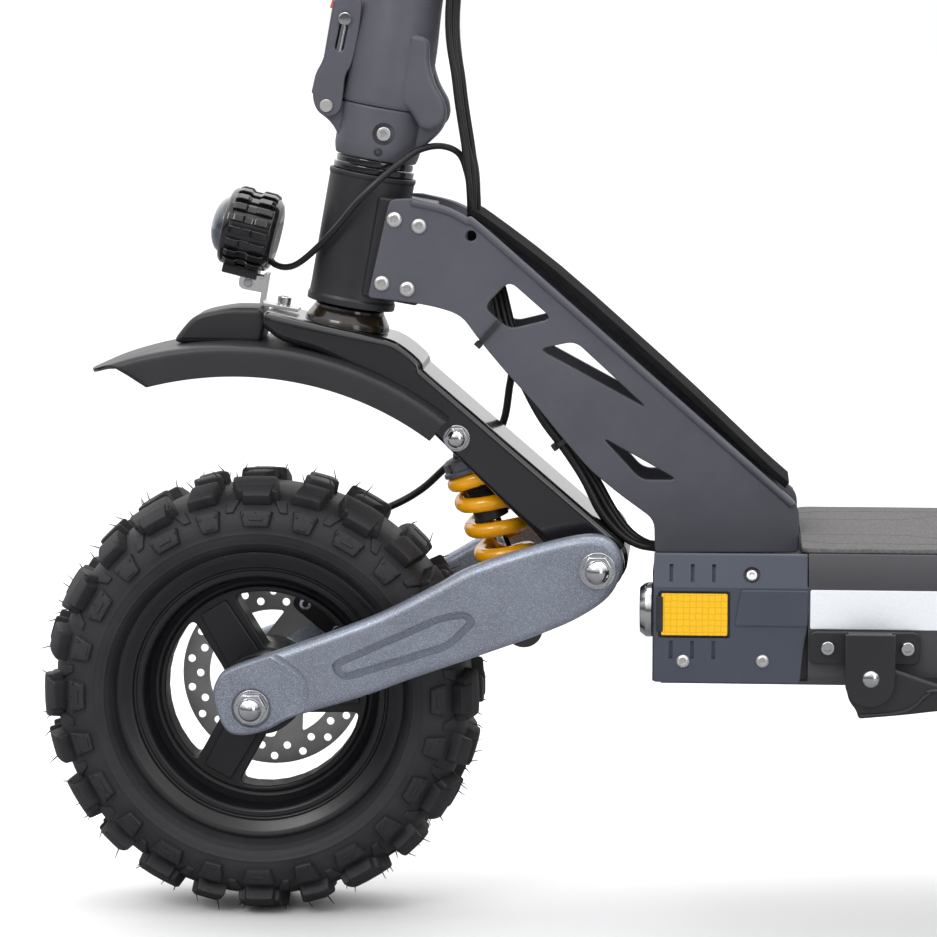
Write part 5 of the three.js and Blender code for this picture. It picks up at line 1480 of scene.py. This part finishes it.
def make_stem():
    profile = [
        (16, 127.6), (26.6, 127.6), (27.2, 129.4), (27.2, 158), (26.6, 172), (25.6, 186), (25, 197),
        (25, 822), (23.6, 835), (22, 846), (0, 846), (0, 840), (20.5, 820),
    ]
    tube_piece = turned(rounded(profile, [0.4, 0.6, 1, 10, 10, 10, 4, 6, 4, 2, 0, 0, 2], 4), "Z", 96)
    knuckles = []
    for side in (-1, 1):
        outline = rounded(
            [(8, 132), (17, 129.5), (26, 118.6), (33, 118.4), (39.6, 123.4), (40.8, 130), (38.5, 138),
             (31, 146.5), (25, 158), (22, 176), (8, 176)],
            [2, 6, 4, 5, 6, 6, 8, 8, 14, 8, 2], 5,
        )
        y = 18.2 * side
        knuckles.append(flat(outline, y - 5.9, y + 5.9, bevel=3.6, steps=5))
    stem = join(tube_piece, *knuckles)
    clamp = block(-24, 24, -27, 27, 828, 880, 6, 4)
    clamp = cut(clamp, rod((0, -40, BAR_TOP), (0, 40, BAR_TOP), 16.0, 0.0, 48),
                block(-30, 0, -40, 40, BAR_TOP - 0.9, BAR_TOP + 0.9, 0))
    settle(join(stem, clamp), "stem_tube_and_clamp", HEAD, "cast_grey", "stem", ["stem"], 40)
    spots = [(-23.8, y, z) for y in (-17, 17) for z in (BAR_TOP - 17, BAR_TOP + 14)]
    screws = fastened(socket_screw(4.2, 4.0, True), spots, (-1, 0, 0))
    settle(screws, "stem_clamp_bolts", HEAD, "chrome", "stem")


def make_handlebar():
    half = [(0, -BAR_HALF), (BAR_RADIUS, -BAR_HALF), (BAR_RADIUS, -58), (15.8, -44), (15.8, 44),
            (BAR_RADIUS, 58), (BAR_RADIUS, BAR_HALF), (0, BAR_HALF)]
    bar = turned(rounded(half, [0, 1, 12, 8, 8, 12, 1, 0], 4), "Y", 64)
    place = HEAD @ Matrix.Translation((0, 0, BAR_TOP))
    settle(bar, "handlebar_butted", place, "satin_black", "stem", ["handlebar"])
    profile = [(11.2, -315), (15.4, -315), (16.5, -313), (16.5, -309)]
    for k in range(26):
        y = -307.5 + k * 4.3
        profile += [(16.3, y), (15.2, y + 0.9), (15.2, y + 2.2), (16.3, y + 3.1)]
    profile += [(16.4, -195), (16.4, -191), (15.4, -190), (11.2, -190)]
    grip = turned(profile, "Y", 64)
    plug = rod((0, -314.8, 0), (0, -310, 0), 13.5, 1.2)
    grip = settle(join(grip, plug), "grip_left_ribbed", place, "grip_rubber", "stem", ["grip_left"])
    mirrored(grip, "grip_right_ribbed", "stem", ["grip_right"])
    for node, finish, body in (
        ("controls_left", "matte_plastic", "stem"),
        ("controls_right", "matte_plastic", "stem"),
        ("throttle", "matte_plastic", "throttle"),
        ("brake_lever_left", "satin_black", "brake_lever_left"),
        ("brake_lever_right", "satin_black", "brake_lever_right"),
        ("horn_button", "safety_orange", "horn_button"),
    ):
        piece = refined_copy(node, 1.0, 3)
        settle(piece, node + "_moulded", IN_PLACE, finish, body, [node])
    screen = block(-26, 22, 139, 167, 893.4, 894.6, 0.5)
    settle(screen, "display_screen", HEAD, "display_glass", "stem")


# ---------- neck ----------
NECK_OUTLINE = [
    (84, 458.5), (98, 459.5), (119, 454.5), (133, 447.5), (144.2, 441), (341, 268), (341.5, 238),
    (251, 237), (250.5, 258), (229, 273.5), (210, 289), (191, 311), (175, 331), (156.5, 351),
    (141, 369.5), (129, 386), (116, 390.5), (101, 393.5), (70, 397),
]


def neck_spot(along, drop):
    start, end = Vector((144.2, 441.0)), Vector((341.0, 268.0))
    way = (end - start).normalized()
    return tuple(start + way * along + Vector((way.y, -way.x)) * drop)


def make_neck():
    radii = [4, 6, 6, 6, 6, 6, 4, 3, 6] + [8] * 9 + [3]
    windows = [[(33, 15), (69, 15), (53, 38), (32, 38)], [(75, 35), (89, 16), (151, 17.5)],
               [(141.5, 50), (195, 38.5), (178, 54)]]
    holes = [rounded([neck_spot(*p) for p in window], 6, 5) for window in windows]
    holes.append(circle(3.3, 20, neck_spot(-3.5, 9.8)))
    plate = flat(rounded(NECK_OUTLINE, radii, 4), -PLATE_OUTER, -PLATE_INNER, holes, bevel=0.9, steps=2)
    lip = smooth([(98, 456.8), (119, 451.9), (133, 444.9), neck_spot(2, 2.4), neck_spot(130, 2.4),
                  neck_spot(259, 2.4)], 6)
    roll = tube([(x, -PLATE_OUTER + 0.2, z) for x, z in lip], 2.5, 5, straight=True)
    left = settle(join(plate, roll), "neck_plate_left_rolled", GROUND, "cast_grey", "frame",
                  ["neck_plate_left"], 40)
    mirrored(left, "neck_plate_right_rolled", "frame", ["neck_plate_right"])
    spots = [(87, 446), (102.5, 442), (79, 406), (95, 402.5)]
    left = fastened(socket_screw(4.8, 2.6), [(x, -PLATE_OUTER, z) for x, z in spots], (0, -1, 0))
    right = fastened(socket_screw(4.8, 2.6), [(x, PLATE_OUTER, z) for x, z in spots], (0, 1, 0))
    settle(join(left, right), "neck_screws", GROUND, "bright_steel", "frame")
    top = [(135, 452.6), (146, 445.8), (189, 413.2), (247, 362.2), (278, 334.2), (318, 296.5), (335, 281.5)]
    under = [(x - 2.6, z - 3.6) for x, z in reversed(top)]
    cover = flat(smooth(top, 3) + smooth(under, 3), -27.6, 27.6, bevel=0.8, steps=2)
    settle(cover, "neck_cover_strip", GROUND, "strip_rubber", "frame", ["neck_cover"])


# ---------- cables ----------
def bundle(route, offsets, radius, per_span=6):
    """Several cables beside each other on one route, each a little off it."""
    cables = []
    for k, (side, out) in enumerate(offsets):
        line = []
        for i, (x, y, z) in enumerate(route):
            sway = 0.9 * math.sin(i * 1.7 + k * 2.1)
            line.append((x + out + sway * 0.4, y + side + sway, z))
        cables.append(tube(line, radius, 4, per_span=per_span))
    return cables


def settle_cable(piece, name, place, body=None, replaces=()):
    return settle(piece, name, place, "cable_sheath", body, replaces, smoothing=60, weighted=False)


def tie(spot, way, wide, deep):
    """A cable tie round a bundle: a flat band with a head."""
    section = rounded([(-wide, -deep), (wide, -deep), (wide, deep), (-wide, deep)], min(wide, deep) * 0.9, 5)
    band = flat(grown(section, 0.7), -1.6, 1.6, [section], bevel=0.2, steps=1, axis="Z")
    head = block(-2.2, 2.2, -deep - 3.4, -deep, -2.4, 2.4, 0.5)
    turn = Vector(way).to_track_quat("Z", "Y").to_matrix().to_4x4()
    return moved(join(band, head), Matrix.Translation(spot) @ turn)


def make_cables():
    stem_run = [
        (32, -24, 798), (31, -18, 728), (31, -8, 558), (31, -5, 408), (31, -6, 308), (32, -6, 202),
        (45, -8, 150), (57, -8, 112),
    ]
    offsets = [(-6.5, 0), (-2.2, 2.4), (2.2, -1), (6.2, 1.6), (-9.5, -2)]
    cables = join(*bundle(stem_run, offsets, 2.1, 8))
    piece = settle_cable(cables, "stem_cable_bundle", HEAD, replaces=["stem_cables"])
    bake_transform(piece)
    low_run = [(57, -8, 112), (62, -7, 98), (66, -6, 83), (70, -4, 60), (76, -2, 34)]
    cables = join(*bundle(low_run, offsets, 2.1, 6))
    piece = settle_cable(cables, "head_cable_bundle", HEAD)
    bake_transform(piece)
    ties = join(*[tie((31.6, -7, z), (0, 0, 1), 4.6, 9.5) for z in (206, 330, 470, 620)])
    settle(ties, "stem_cable_ties", HEAD, "matte_plastic", "stem")

    run = [(139, 0, 430), (148, -2, 402), (157, -8, 370), (172, -14, 338), (184, -18, 318), (197, -18, 300),
           (209, -18, 281), (219, -18, 262), (230, -18, 248), (242, -16, 240.5), (254, -13, 238)]
    cables = join(*bundle(run, [(-6, -2), (-2, 2), (3, -4), (7, 0), (0, 5)], 2.5, 6))
    settle_cable(cables, "neck_cable_bundle", GROUND, "frame", ["neck_cables"])
    ties = [tie((193, -18, 306), (13, 0, -18), 8, 5.5), tie((147, -30.5, 376), (-0.75, 0, 0.66), 3.6, 9.5)]
    settle(join(*ties), "neck_cable_ties", GROUND, "matte_plastic", "frame")
    brake = [(38, 57, 238.5), (52, 58, 244.5), (76, 55, 252.5), (97, 54, 264.5), (118, 50, 283.5),
             (148, 43, 304.5), (156, 40, 338.5)]
    piece = settle_cable(tube(brake, 2.5, 4), "front_brake_hose", GROUND, replaces=["front_brake_cable"])
    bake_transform(piece)
    upper = [(156, 40, 338.5), (158, 30, 360), (153, 12, 385), (148, 4, 402)]
    piece = settle_cable(tube(upper, 2.5, 4), "front_brake_hose_upper", GROUND)
    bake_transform(piece)
    lead = [(3, 0, 421), (8, -3, 415.5), (16.5, -8, 414), (26, -14, 418), (40, -23, 430), (51.5, -30, 442),
            (64, -34, 457), (77, -33, 470), (90, -27, 481), (102, -20, 489), (115, -12, 491),
            (126, -8, 486), (131, -6, 473), (134, -4, 455)]
    piece = settle_cable(tube(lead, 2.1, 4), "headlight_lead", GROUND)
    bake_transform(piece)


# ---------- deck ----------
def make_deck():
    shell = refined_copy("deck_shell", 0.8, 2)
    # The shell takes the lightened satin black: painted sheen of the top light on the deck's slope.
    settle(shell, "deck_shell_welded", IN_PLACE, "deck_painted_sheen", "frame", ["deck_shell"])
    plate = refined_copy("deck_front_plate", 0.6, 2)
    settle(plate, "deck_front_plate_cut", IN_PLACE, "satin_black", "frame", ["deck_front_plate"])
    for node, finish in (("controller", "controller_case"), ("battery_pack", "battery_wrap"),
                         ("rear_mount", "satin_black")):
        settle(refined_copy(node, 1.0, 2), node + "_detailed", IN_PLACE, finish, "frame", [node])

    outline = rounded([(342, -94), (741, -94), (741, 94), (342, 94)], 9)
    mat = flat(outline, 246.9, 249.9, bevel=0.8, axis="Z")
    lines = []
    for start in (342, 478, 614):
        for side in (-1, 1):
            near = [(0, 62), (18, 72), (96, 72)]
            far = [(0, 34), (66, 34), (96, 56), (118, 56)]
            for line in (near, far):
                route = [(start + x, side * y, 250.1) for x, y in line]
                lines.append(tube(route, 0.8, 1, straight=True))
    mat = cut(mat, join(*lines))
    settle(mat, "deck_mat_grooved", GROUND, "deck_grip", "frame", ["deck_mat"])


def make_side_covers():
    outline = [
        (251.8, 227.4), (251.8, 167.6), (341.5, 167.6), (343.0, 186), (345.8, 203), (347.5, 221),
        (346.5, 227.4),
    ]
    panel = flat(rounded(outline, [0.8, 2, 4, 8, 4, 3, 0.8], 5), -SIDE_FACE, -96.9, bevel=0.9, steps=3)
    recess = rounded([(254.6, 195.3), (298.6, 195.3), (298.6, 224.4), (254.6, 224.4)], 2.0)
    panel = cut(panel, flat(recess, -110, -101.4))
    grooves = [block(x - 1.1, x + 1.1, -110, -102.4, 182.5, 193.5, 0) for x in (262.5, 275.5, 288.5)]
    panel = cut(panel, join(*grooves))
    raised = flat(rounded([(301, 203), (305, 225.4), (346, 225.4), (345.6, 203)], [1.5, 2, 1.5, 1.5], 4),
                  -SIDE_FACE - 1.1, -SIDE_FACE + 1.0, bevel=0.9, steps=3)
    bevelled(panel, 0.6, 2, 50)
    section = rounded([(-104, 226.6), (-96.2, 246.4), (-92.5, 246.4), (-99, 226.6)], [1, 1.5, 1, 1], 3)
    slope = flat(section, 251.8, 345.4, axis="X")
    tilt = Matrix.Translation((0, -100.6, 235.0)) @ Matrix.Rotation(-21.8 * DEG, 4, "X")
    cutters = [moved(block(x - 1.1, x + 1.1, -1.8, 2.4, -5.5, 5.5, 0), tilt) for x in (262.5, 275.5, 288.5)]
    cutters.append(moved(rod((311.6, -3, -1), (311.6, 2.4, -1), 5.2, 0.0, 32), tilt))
    slope = cut(slope, join(*cutters))
    bevelled(slope, 0.5, 2, 50)
    left = settle(join(panel, raised, slope), "side_cover_left_moulded", GROUND, "slate_plastic", "frame",
                  ["side_cover_left"])
    mirrored(left, "side_cover_right_moulded", "frame", ["side_cover_right"])

    clip = block(253.4, 257.6, -105.2, -101.6, 199, 221, 0.8)
    clip = settle(clip, "side_reflector_clip_left", GROUND, "matte_plastic", "frame")
    mirrored(clip, "side_reflector_clip_right", "frame")
    outline = rounded([(256.4, 196.8), (297.0, 196.8), (297.0, 222.8), (256.4, 222.8)], 1.4)
    amber = flat(outline, -104.4, -101.5, bevel=0.7)
    amber = settle(amber, "side_reflector_left", GROUND, "amber_reflector", "frame")
    mirrored(amber, "side_reflector_right", "frame")
    spots = [(270, -SIDE_FACE + 0.2, 181), (318.5, -SIDE_FACE + 0.2, 181.5)]
    lower = fastened(socket_screw(4.0, 2.4), spots, (0, -1, 0))
    upper = fastened(socket_screw(3.4, 2.0, True), [(311.6, -98.9, 233.3)], (0, -1, 0.4))
    screws = settle(join(lower, upper), "side_cover_screws_left", GROUND, "bright_steel", "frame")
    mirrored(screws, "side_cover_screws_right", "frame")

    outline = rounded([(347.2, 201.6), (747, 201.6), (747, 225.9), (347.2, 225.9)], 1.5)
    strip = flat(outline, -SIDE_FACE - 0.5, -SIDE_FACE + 1, bevel=0.6)
    strip = settle(strip, "side_light_left", GROUND, "light_strip", "frame")
    mirrored(strip, "side_light_right", "frame")


def make_kick_bracket():
    outline = rounded([(346.5, 180.6), (414, 180.6), (414, 200.9), (346.5, 200.9)], 5)
    plate = flat(outline, -108.4, -104.3, bevel=0.9)
    lug = [(398.7, 201.2), (368.3, 201.2)] + arc(15.2, 180, 360, 14, (383.5, 171.5))
    front = flat(lug, -120.4, -117.4, bevel=0.9)
    web = block(370.0, 397.0, -118.5, -106, 196.0, 201.0, 0.9)
    settle(join(plate, front, web), "kick_bracket_bent", GROUND, "satin_black", "frame", ["kick_bracket"])
    spots = [(358, -108.2, 191.0), (406.4, -108.2, 191.0)]
    screws = fastened(socket_screw(4.2, 3.2, True), spots, (0, -1, 0))
    settle(screws, "kick_bracket_screws", GROUND, "chrome", "frame")
    rivet = fastened(rivet_head(5.4, 2.4), [(384, -120.2, 173.9)], (0, -1, 0))
    settle(rivet, "kickstand_rivet", GROUND, "chrome", "frame")


def make_kickstand():
    outline = [
        (369, 171), (370.5, 160), (375.5, 153.5), (377, 148.4), (404, 151), (430, 154.5), (540, 155.5),
        (548, 160), (543, 167.5), (430, 168.5), (402, 178.6), (384, 183.5), (372, 180),
    ]
    stand = rounded(outline, [6, 6, 2, 2, 10, 20, 6, 5, 6, 20, 12, 8, 6], 5)
    stand = flat(stand, -116.6, -109.0, bevel=2.4, steps=3)
    lip = [(378, 150.6), (400, 152.6), (410, 156.5), (419, 164.5), (430, 166.6), (540, 165.4)]
    flange = tube([(x, -116.6, z) for x, z in lip], 1.3, 3)
    settle(join(stand, flange), "kickstand_pressed", GROUND, "satin_black", "kickstand", ["kickstand"])


def make_cap_and_horn():
    cap = refined_copy("charge_cap", 0.7, 3)
    settle(cap, "charge_cap_moulded", IN_PLACE, "matte_plastic", "charge_cap", ["charge_cap"])
    horn = refined_copy("horn", 0.8, 3)
    settle(horn, "horn_pressed", IN_PLACE, "chrome", "frame", ["horn"])


def make_rear_end():
    shell = fender_shell(-52, 34, 6, 6, wall=17.0)
    place = local_frame(REAR_AXLE)
    moved(shell, Matrix.Rotation(math.pi, 4, "Z"))
    settle(shell, "rear_fender_moulded", place, "matte_plastic", "frame", ["rear_fender"], 45)
    lamp = refined_copy("tail_light", 1.2, 3)
    settle(lamp, "tail_light_lens", IN_PLACE, "red_lens", "frame", ["tail_light"])
    nuts = nuts_on_bolt(SHOCK_TOP, -LEG_HALF_WIDTH - 1, LEG_HALF_WIDTH + 1, 13.5, 8.0)
    settle(nuts, "rear_shock_pin", REAR, "chrome", "frame")


# ---------- panel and registration ----------
class ScooterSizes(bpy.types.PropertyGroup):
    """Sizes of the details that Blender adds."""

    coil_wire: bpy.props.FloatProperty(
        name="Coil wire", description="Thickness of the springs' wire", default=0.0098, unit="LENGTH"
    )
    coil_turns: bpy.props.FloatProperty(
        name="Coil turns", description="Turns of wire in each spring", default=3.2, min=2.0, max=9.0
    )


class ScooterColours(bpy.types.PropertyGroup):
    """Colours of the scooter's finishes."""

    gloss_black: bpy.props.FloatVectorProperty(
        name="Fork paint", description="Gloss paint of the fork", subtype="COLOR",
        default=(0.011, 0.011, 0.013),
    )
    satin_black: bpy.props.FloatVectorProperty(
        name="Frame paint", description="Satin paint of the frame", subtype="COLOR",
        default=(0.02, 0.02, 0.023),
    )
    # Satin black lightened into painted sheen for the deck shell's top-lit slope.
    deck_painted_sheen: bpy.props.FloatVectorProperty(
        name="Deck paint", description="Paint of the deck's shell", subtype="COLOR",
        default=(0.05, 0.05, 0.057),
    )
    rim_black: bpy.props.FloatVectorProperty(
        name="Rim paint", description="Paint of the rims", subtype="COLOR", default=(0.012, 0.012, 0.014)
    )
    cast_grey: bpy.props.FloatVectorProperty(
        name="Castings", description="Grey of the stem and the neck", subtype="COLOR",
        default=(0.108, 0.109, 0.133),
    )
    arm_paint: bpy.props.FloatVectorProperty(
        name="Swing arms", description="Metallic paint of the arms", subtype="COLOR",
        default=(0.25, 0.275, 0.33),
    )
    tyre_rubber: bpy.props.FloatVectorProperty(
        name="Tyres", description="Rubber of the tyres", subtype="COLOR", default=(0.016, 0.016, 0.018)
    )
    spring_paint: bpy.props.FloatVectorProperty(
        name="Springs", description="Paint of the springs", subtype="COLOR", default=(0.9, 0.4, 0.002)
    )
    slate_plastic: bpy.props.FloatVectorProperty(
        name="Side covers", description="Plastic of the deck's covers", subtype="COLOR",
        default=(0.048, 0.057, 0.08),
    )
    deck_mat: bpy.props.FloatVectorProperty(
        name="Deck mat", description="Grip mat on the deck", subtype="COLOR", default=(0.17, 0.165, 0.165)
    )


class SCOOTER_OT_stage(bpy.types.Operator):
    """Camera, floor, sky, lights and materials."""

    bl_idname = "scooter.stage"
    bl_label = "Stage"
    bl_options = {"REGISTER", "UNDO"}

    def execute(self, context):
        make_materials()
        make_stage()
        return {"FINISHED"}


class SCOOTER_OT_tyres(bpy.types.Operator):
    """Knobbly tyres on both wheels."""

    bl_idname = "scooter.tyres"
    bl_label = "Tyres"
    bl_options = {"REGISTER", "UNDO"}

    def execute(self, context):
        make_tyres()
        return {"FINISHED"}


class SCOOTER_OT_wheels(bpy.types.Operator):
    """Front rim, hub motor and brake discs."""

    bl_idname = "scooter.wheels"
    bl_label = "Wheels"
    bl_options = {"REGISTER", "UNDO"}

    def execute(self, context):
        make_front_rim()
        make_hub_motor()
        make_discs()
        return {"FINISHED"}


class SCOOTER_OT_arms(bpy.types.Operator):
    """Swing arms, axles and pivot bolts."""

    bl_idname = "scooter.arms"
    bl_label = "Swing arms"
    bl_options = {"REGISTER", "UNDO"}

    def execute(self, context):
        make_arms()
        make_axles()
        return {"FINISHED"}


class SCOOTER_OT_shocks(bpy.types.Operator):
    """Coil-over shocks at both ends."""

    bl_idname = "scooter.shocks"
    bl_label = "Shocks"
    bl_options = {"REGISTER", "UNDO"}

    def execute(self, context):
        make_shocks()
        return {"FINISHED"}


class SCOOTER_OT_calipers(bpy.types.Operator):
    """Disc brake calipers and their levers."""

    bl_idname = "scooter.calipers"
    bl_label = "Calipers"
    bl_options = {"REGISTER", "UNDO"}

    def execute(self, context):
        make_calipers()
        return {"FINISHED"}


class SCOOTER_OT_fork(bpy.types.Operator):
    """Fork, front fender and headlight."""

    bl_idname = "scooter.fork"
    bl_label = "Fork"
    bl_options = {"REGISTER", "UNDO"}

    def execute(self, context):
        make_fork()
        make_front_fender()
        make_headlight()
        return {"FINISHED"}


class SCOOTER_OT_steering(bpy.types.Operator):
    """Head tube, folding joint and its lever."""

    bl_idname = "scooter.steering"
    bl_label = "Steering head"
    bl_options = {"REGISTER", "UNDO"}

    def execute(self, context):
        make_head_tube()
        make_fold_base()
        make_fold_lever()
        return {"FINISHED"}


class SCOOTER_OT_stem(bpy.types.Operator):
    """Stem, handlebar, grips and controls."""

    bl_idname = "scooter.stem"
    bl_label = "Stem and bar"
    bl_options = {"REGISTER", "UNDO"}

    def execute(self, context):
        make_stem()
        make_handlebar()
        return {"FINISHED"}


class SCOOTER_OT_neck(bpy.types.Operator):
    """Neck plates and cover strip."""

    bl_idname = "scooter.neck"
    bl_label = "Neck"
    bl_options = {"REGISTER", "UNDO"}

    def execute(self, context):
        make_neck()
        return {"FINISHED"}


class SCOOTER_OT_cables(bpy.types.Operator):
    """Cables of the stem, neck, brake and headlight."""

    bl_idname = "scooter.cables"
    bl_label = "Cables"
    bl_options = {"REGISTER", "UNDO"}

    def execute(self, context):
        make_cables()
        return {"FINISHED"}


class SCOOTER_OT_deck(bpy.types.Operator):
    """Deck shell, mat and what it holds."""

    bl_idname = "scooter.deck"
    bl_label = "Deck"
    bl_options = {"REGISTER", "UNDO"}

    def execute(self, context):
        make_deck()
        make_side_covers()
        return {"FINISHED"}


class SCOOTER_OT_stand(bpy.types.Operator):
    """Kickstand, charge cap and horn."""

    bl_idname = "scooter.stand"
    bl_label = "Stand and fittings"
    bl_options = {"REGISTER", "UNDO"}

    def execute(self, context):
        make_kick_bracket()
        make_kickstand()
        make_cap_and_horn()
        return {"FINISHED"}


class SCOOTER_OT_rear(bpy.types.Operator):
    """Rear fender, tail light and shock bolts."""

    bl_idname = "scooter.rear"
    bl_label = "Rear end"
    bl_options = {"REGISTER", "UNDO"}

    def execute(self, context):
        make_rear_end()
        return {"FINISHED"}


PIECE_OPERATORS = (
    SCOOTER_OT_stage,
    SCOOTER_OT_tyres,
    SCOOTER_OT_wheels,
    SCOOTER_OT_arms,
    SCOOTER_OT_shocks,
    SCOOTER_OT_calipers,
    SCOOTER_OT_fork,
    SCOOTER_OT_steering,
    SCOOTER_OT_stem,
    SCOOTER_OT_neck,
    SCOOTER_OT_cables,
    SCOOTER_OT_deck,
    SCOOTER_OT_stand,
    SCOOTER_OT_rear,
)


class SCOOTER_PT_panel(bpy.types.Panel):
    """The scooter's panel in the sidebar."""

    bl_label = "Electric Scooter"
    bl_space_type = "VIEW_3D"
    bl_region_type = "UI"
    bl_category = "Scooter"

    def draw(self, context):
        for group in (context.scene.scooter_sizes, context.scene.scooter_colours):
            for name in group.bl_rna.properties.keys():
                if name not in ("rna_type", "name"):
                    self.layout.prop(group, name)
        for operator in PIECE_OPERATORS:
            self.layout.operator(operator.bl_idname)


CLASSES = (ScooterSizes, ScooterColours, *PIECE_OPERATORS, SCOOTER_PT_panel)


def register():
    for item in CLASSES:
        bpy.utils.register_class(item)
    bpy.types.Scene.scooter_sizes = bpy.props.PointerProperty(type=ScooterSizes)
    bpy.types.Scene.scooter_colours = bpy.props.PointerProperty(type=ScooterColours)


def unregister():
    del bpy.types.Scene.scooter_colours
    del bpy.types.Scene.scooter_sizes
    for item in reversed(CLASSES):
        bpy.utils.unregister_class(item)


def main():
    register()
    for operator in PIECE_OPERATORS:
        group, name = operator.bl_idname.split(".")
        getattr(getattr(bpy.ops, group), name)()
    deselect()
    bpy.context.view_layer.update()


if __name__ == "__main__":
    main()
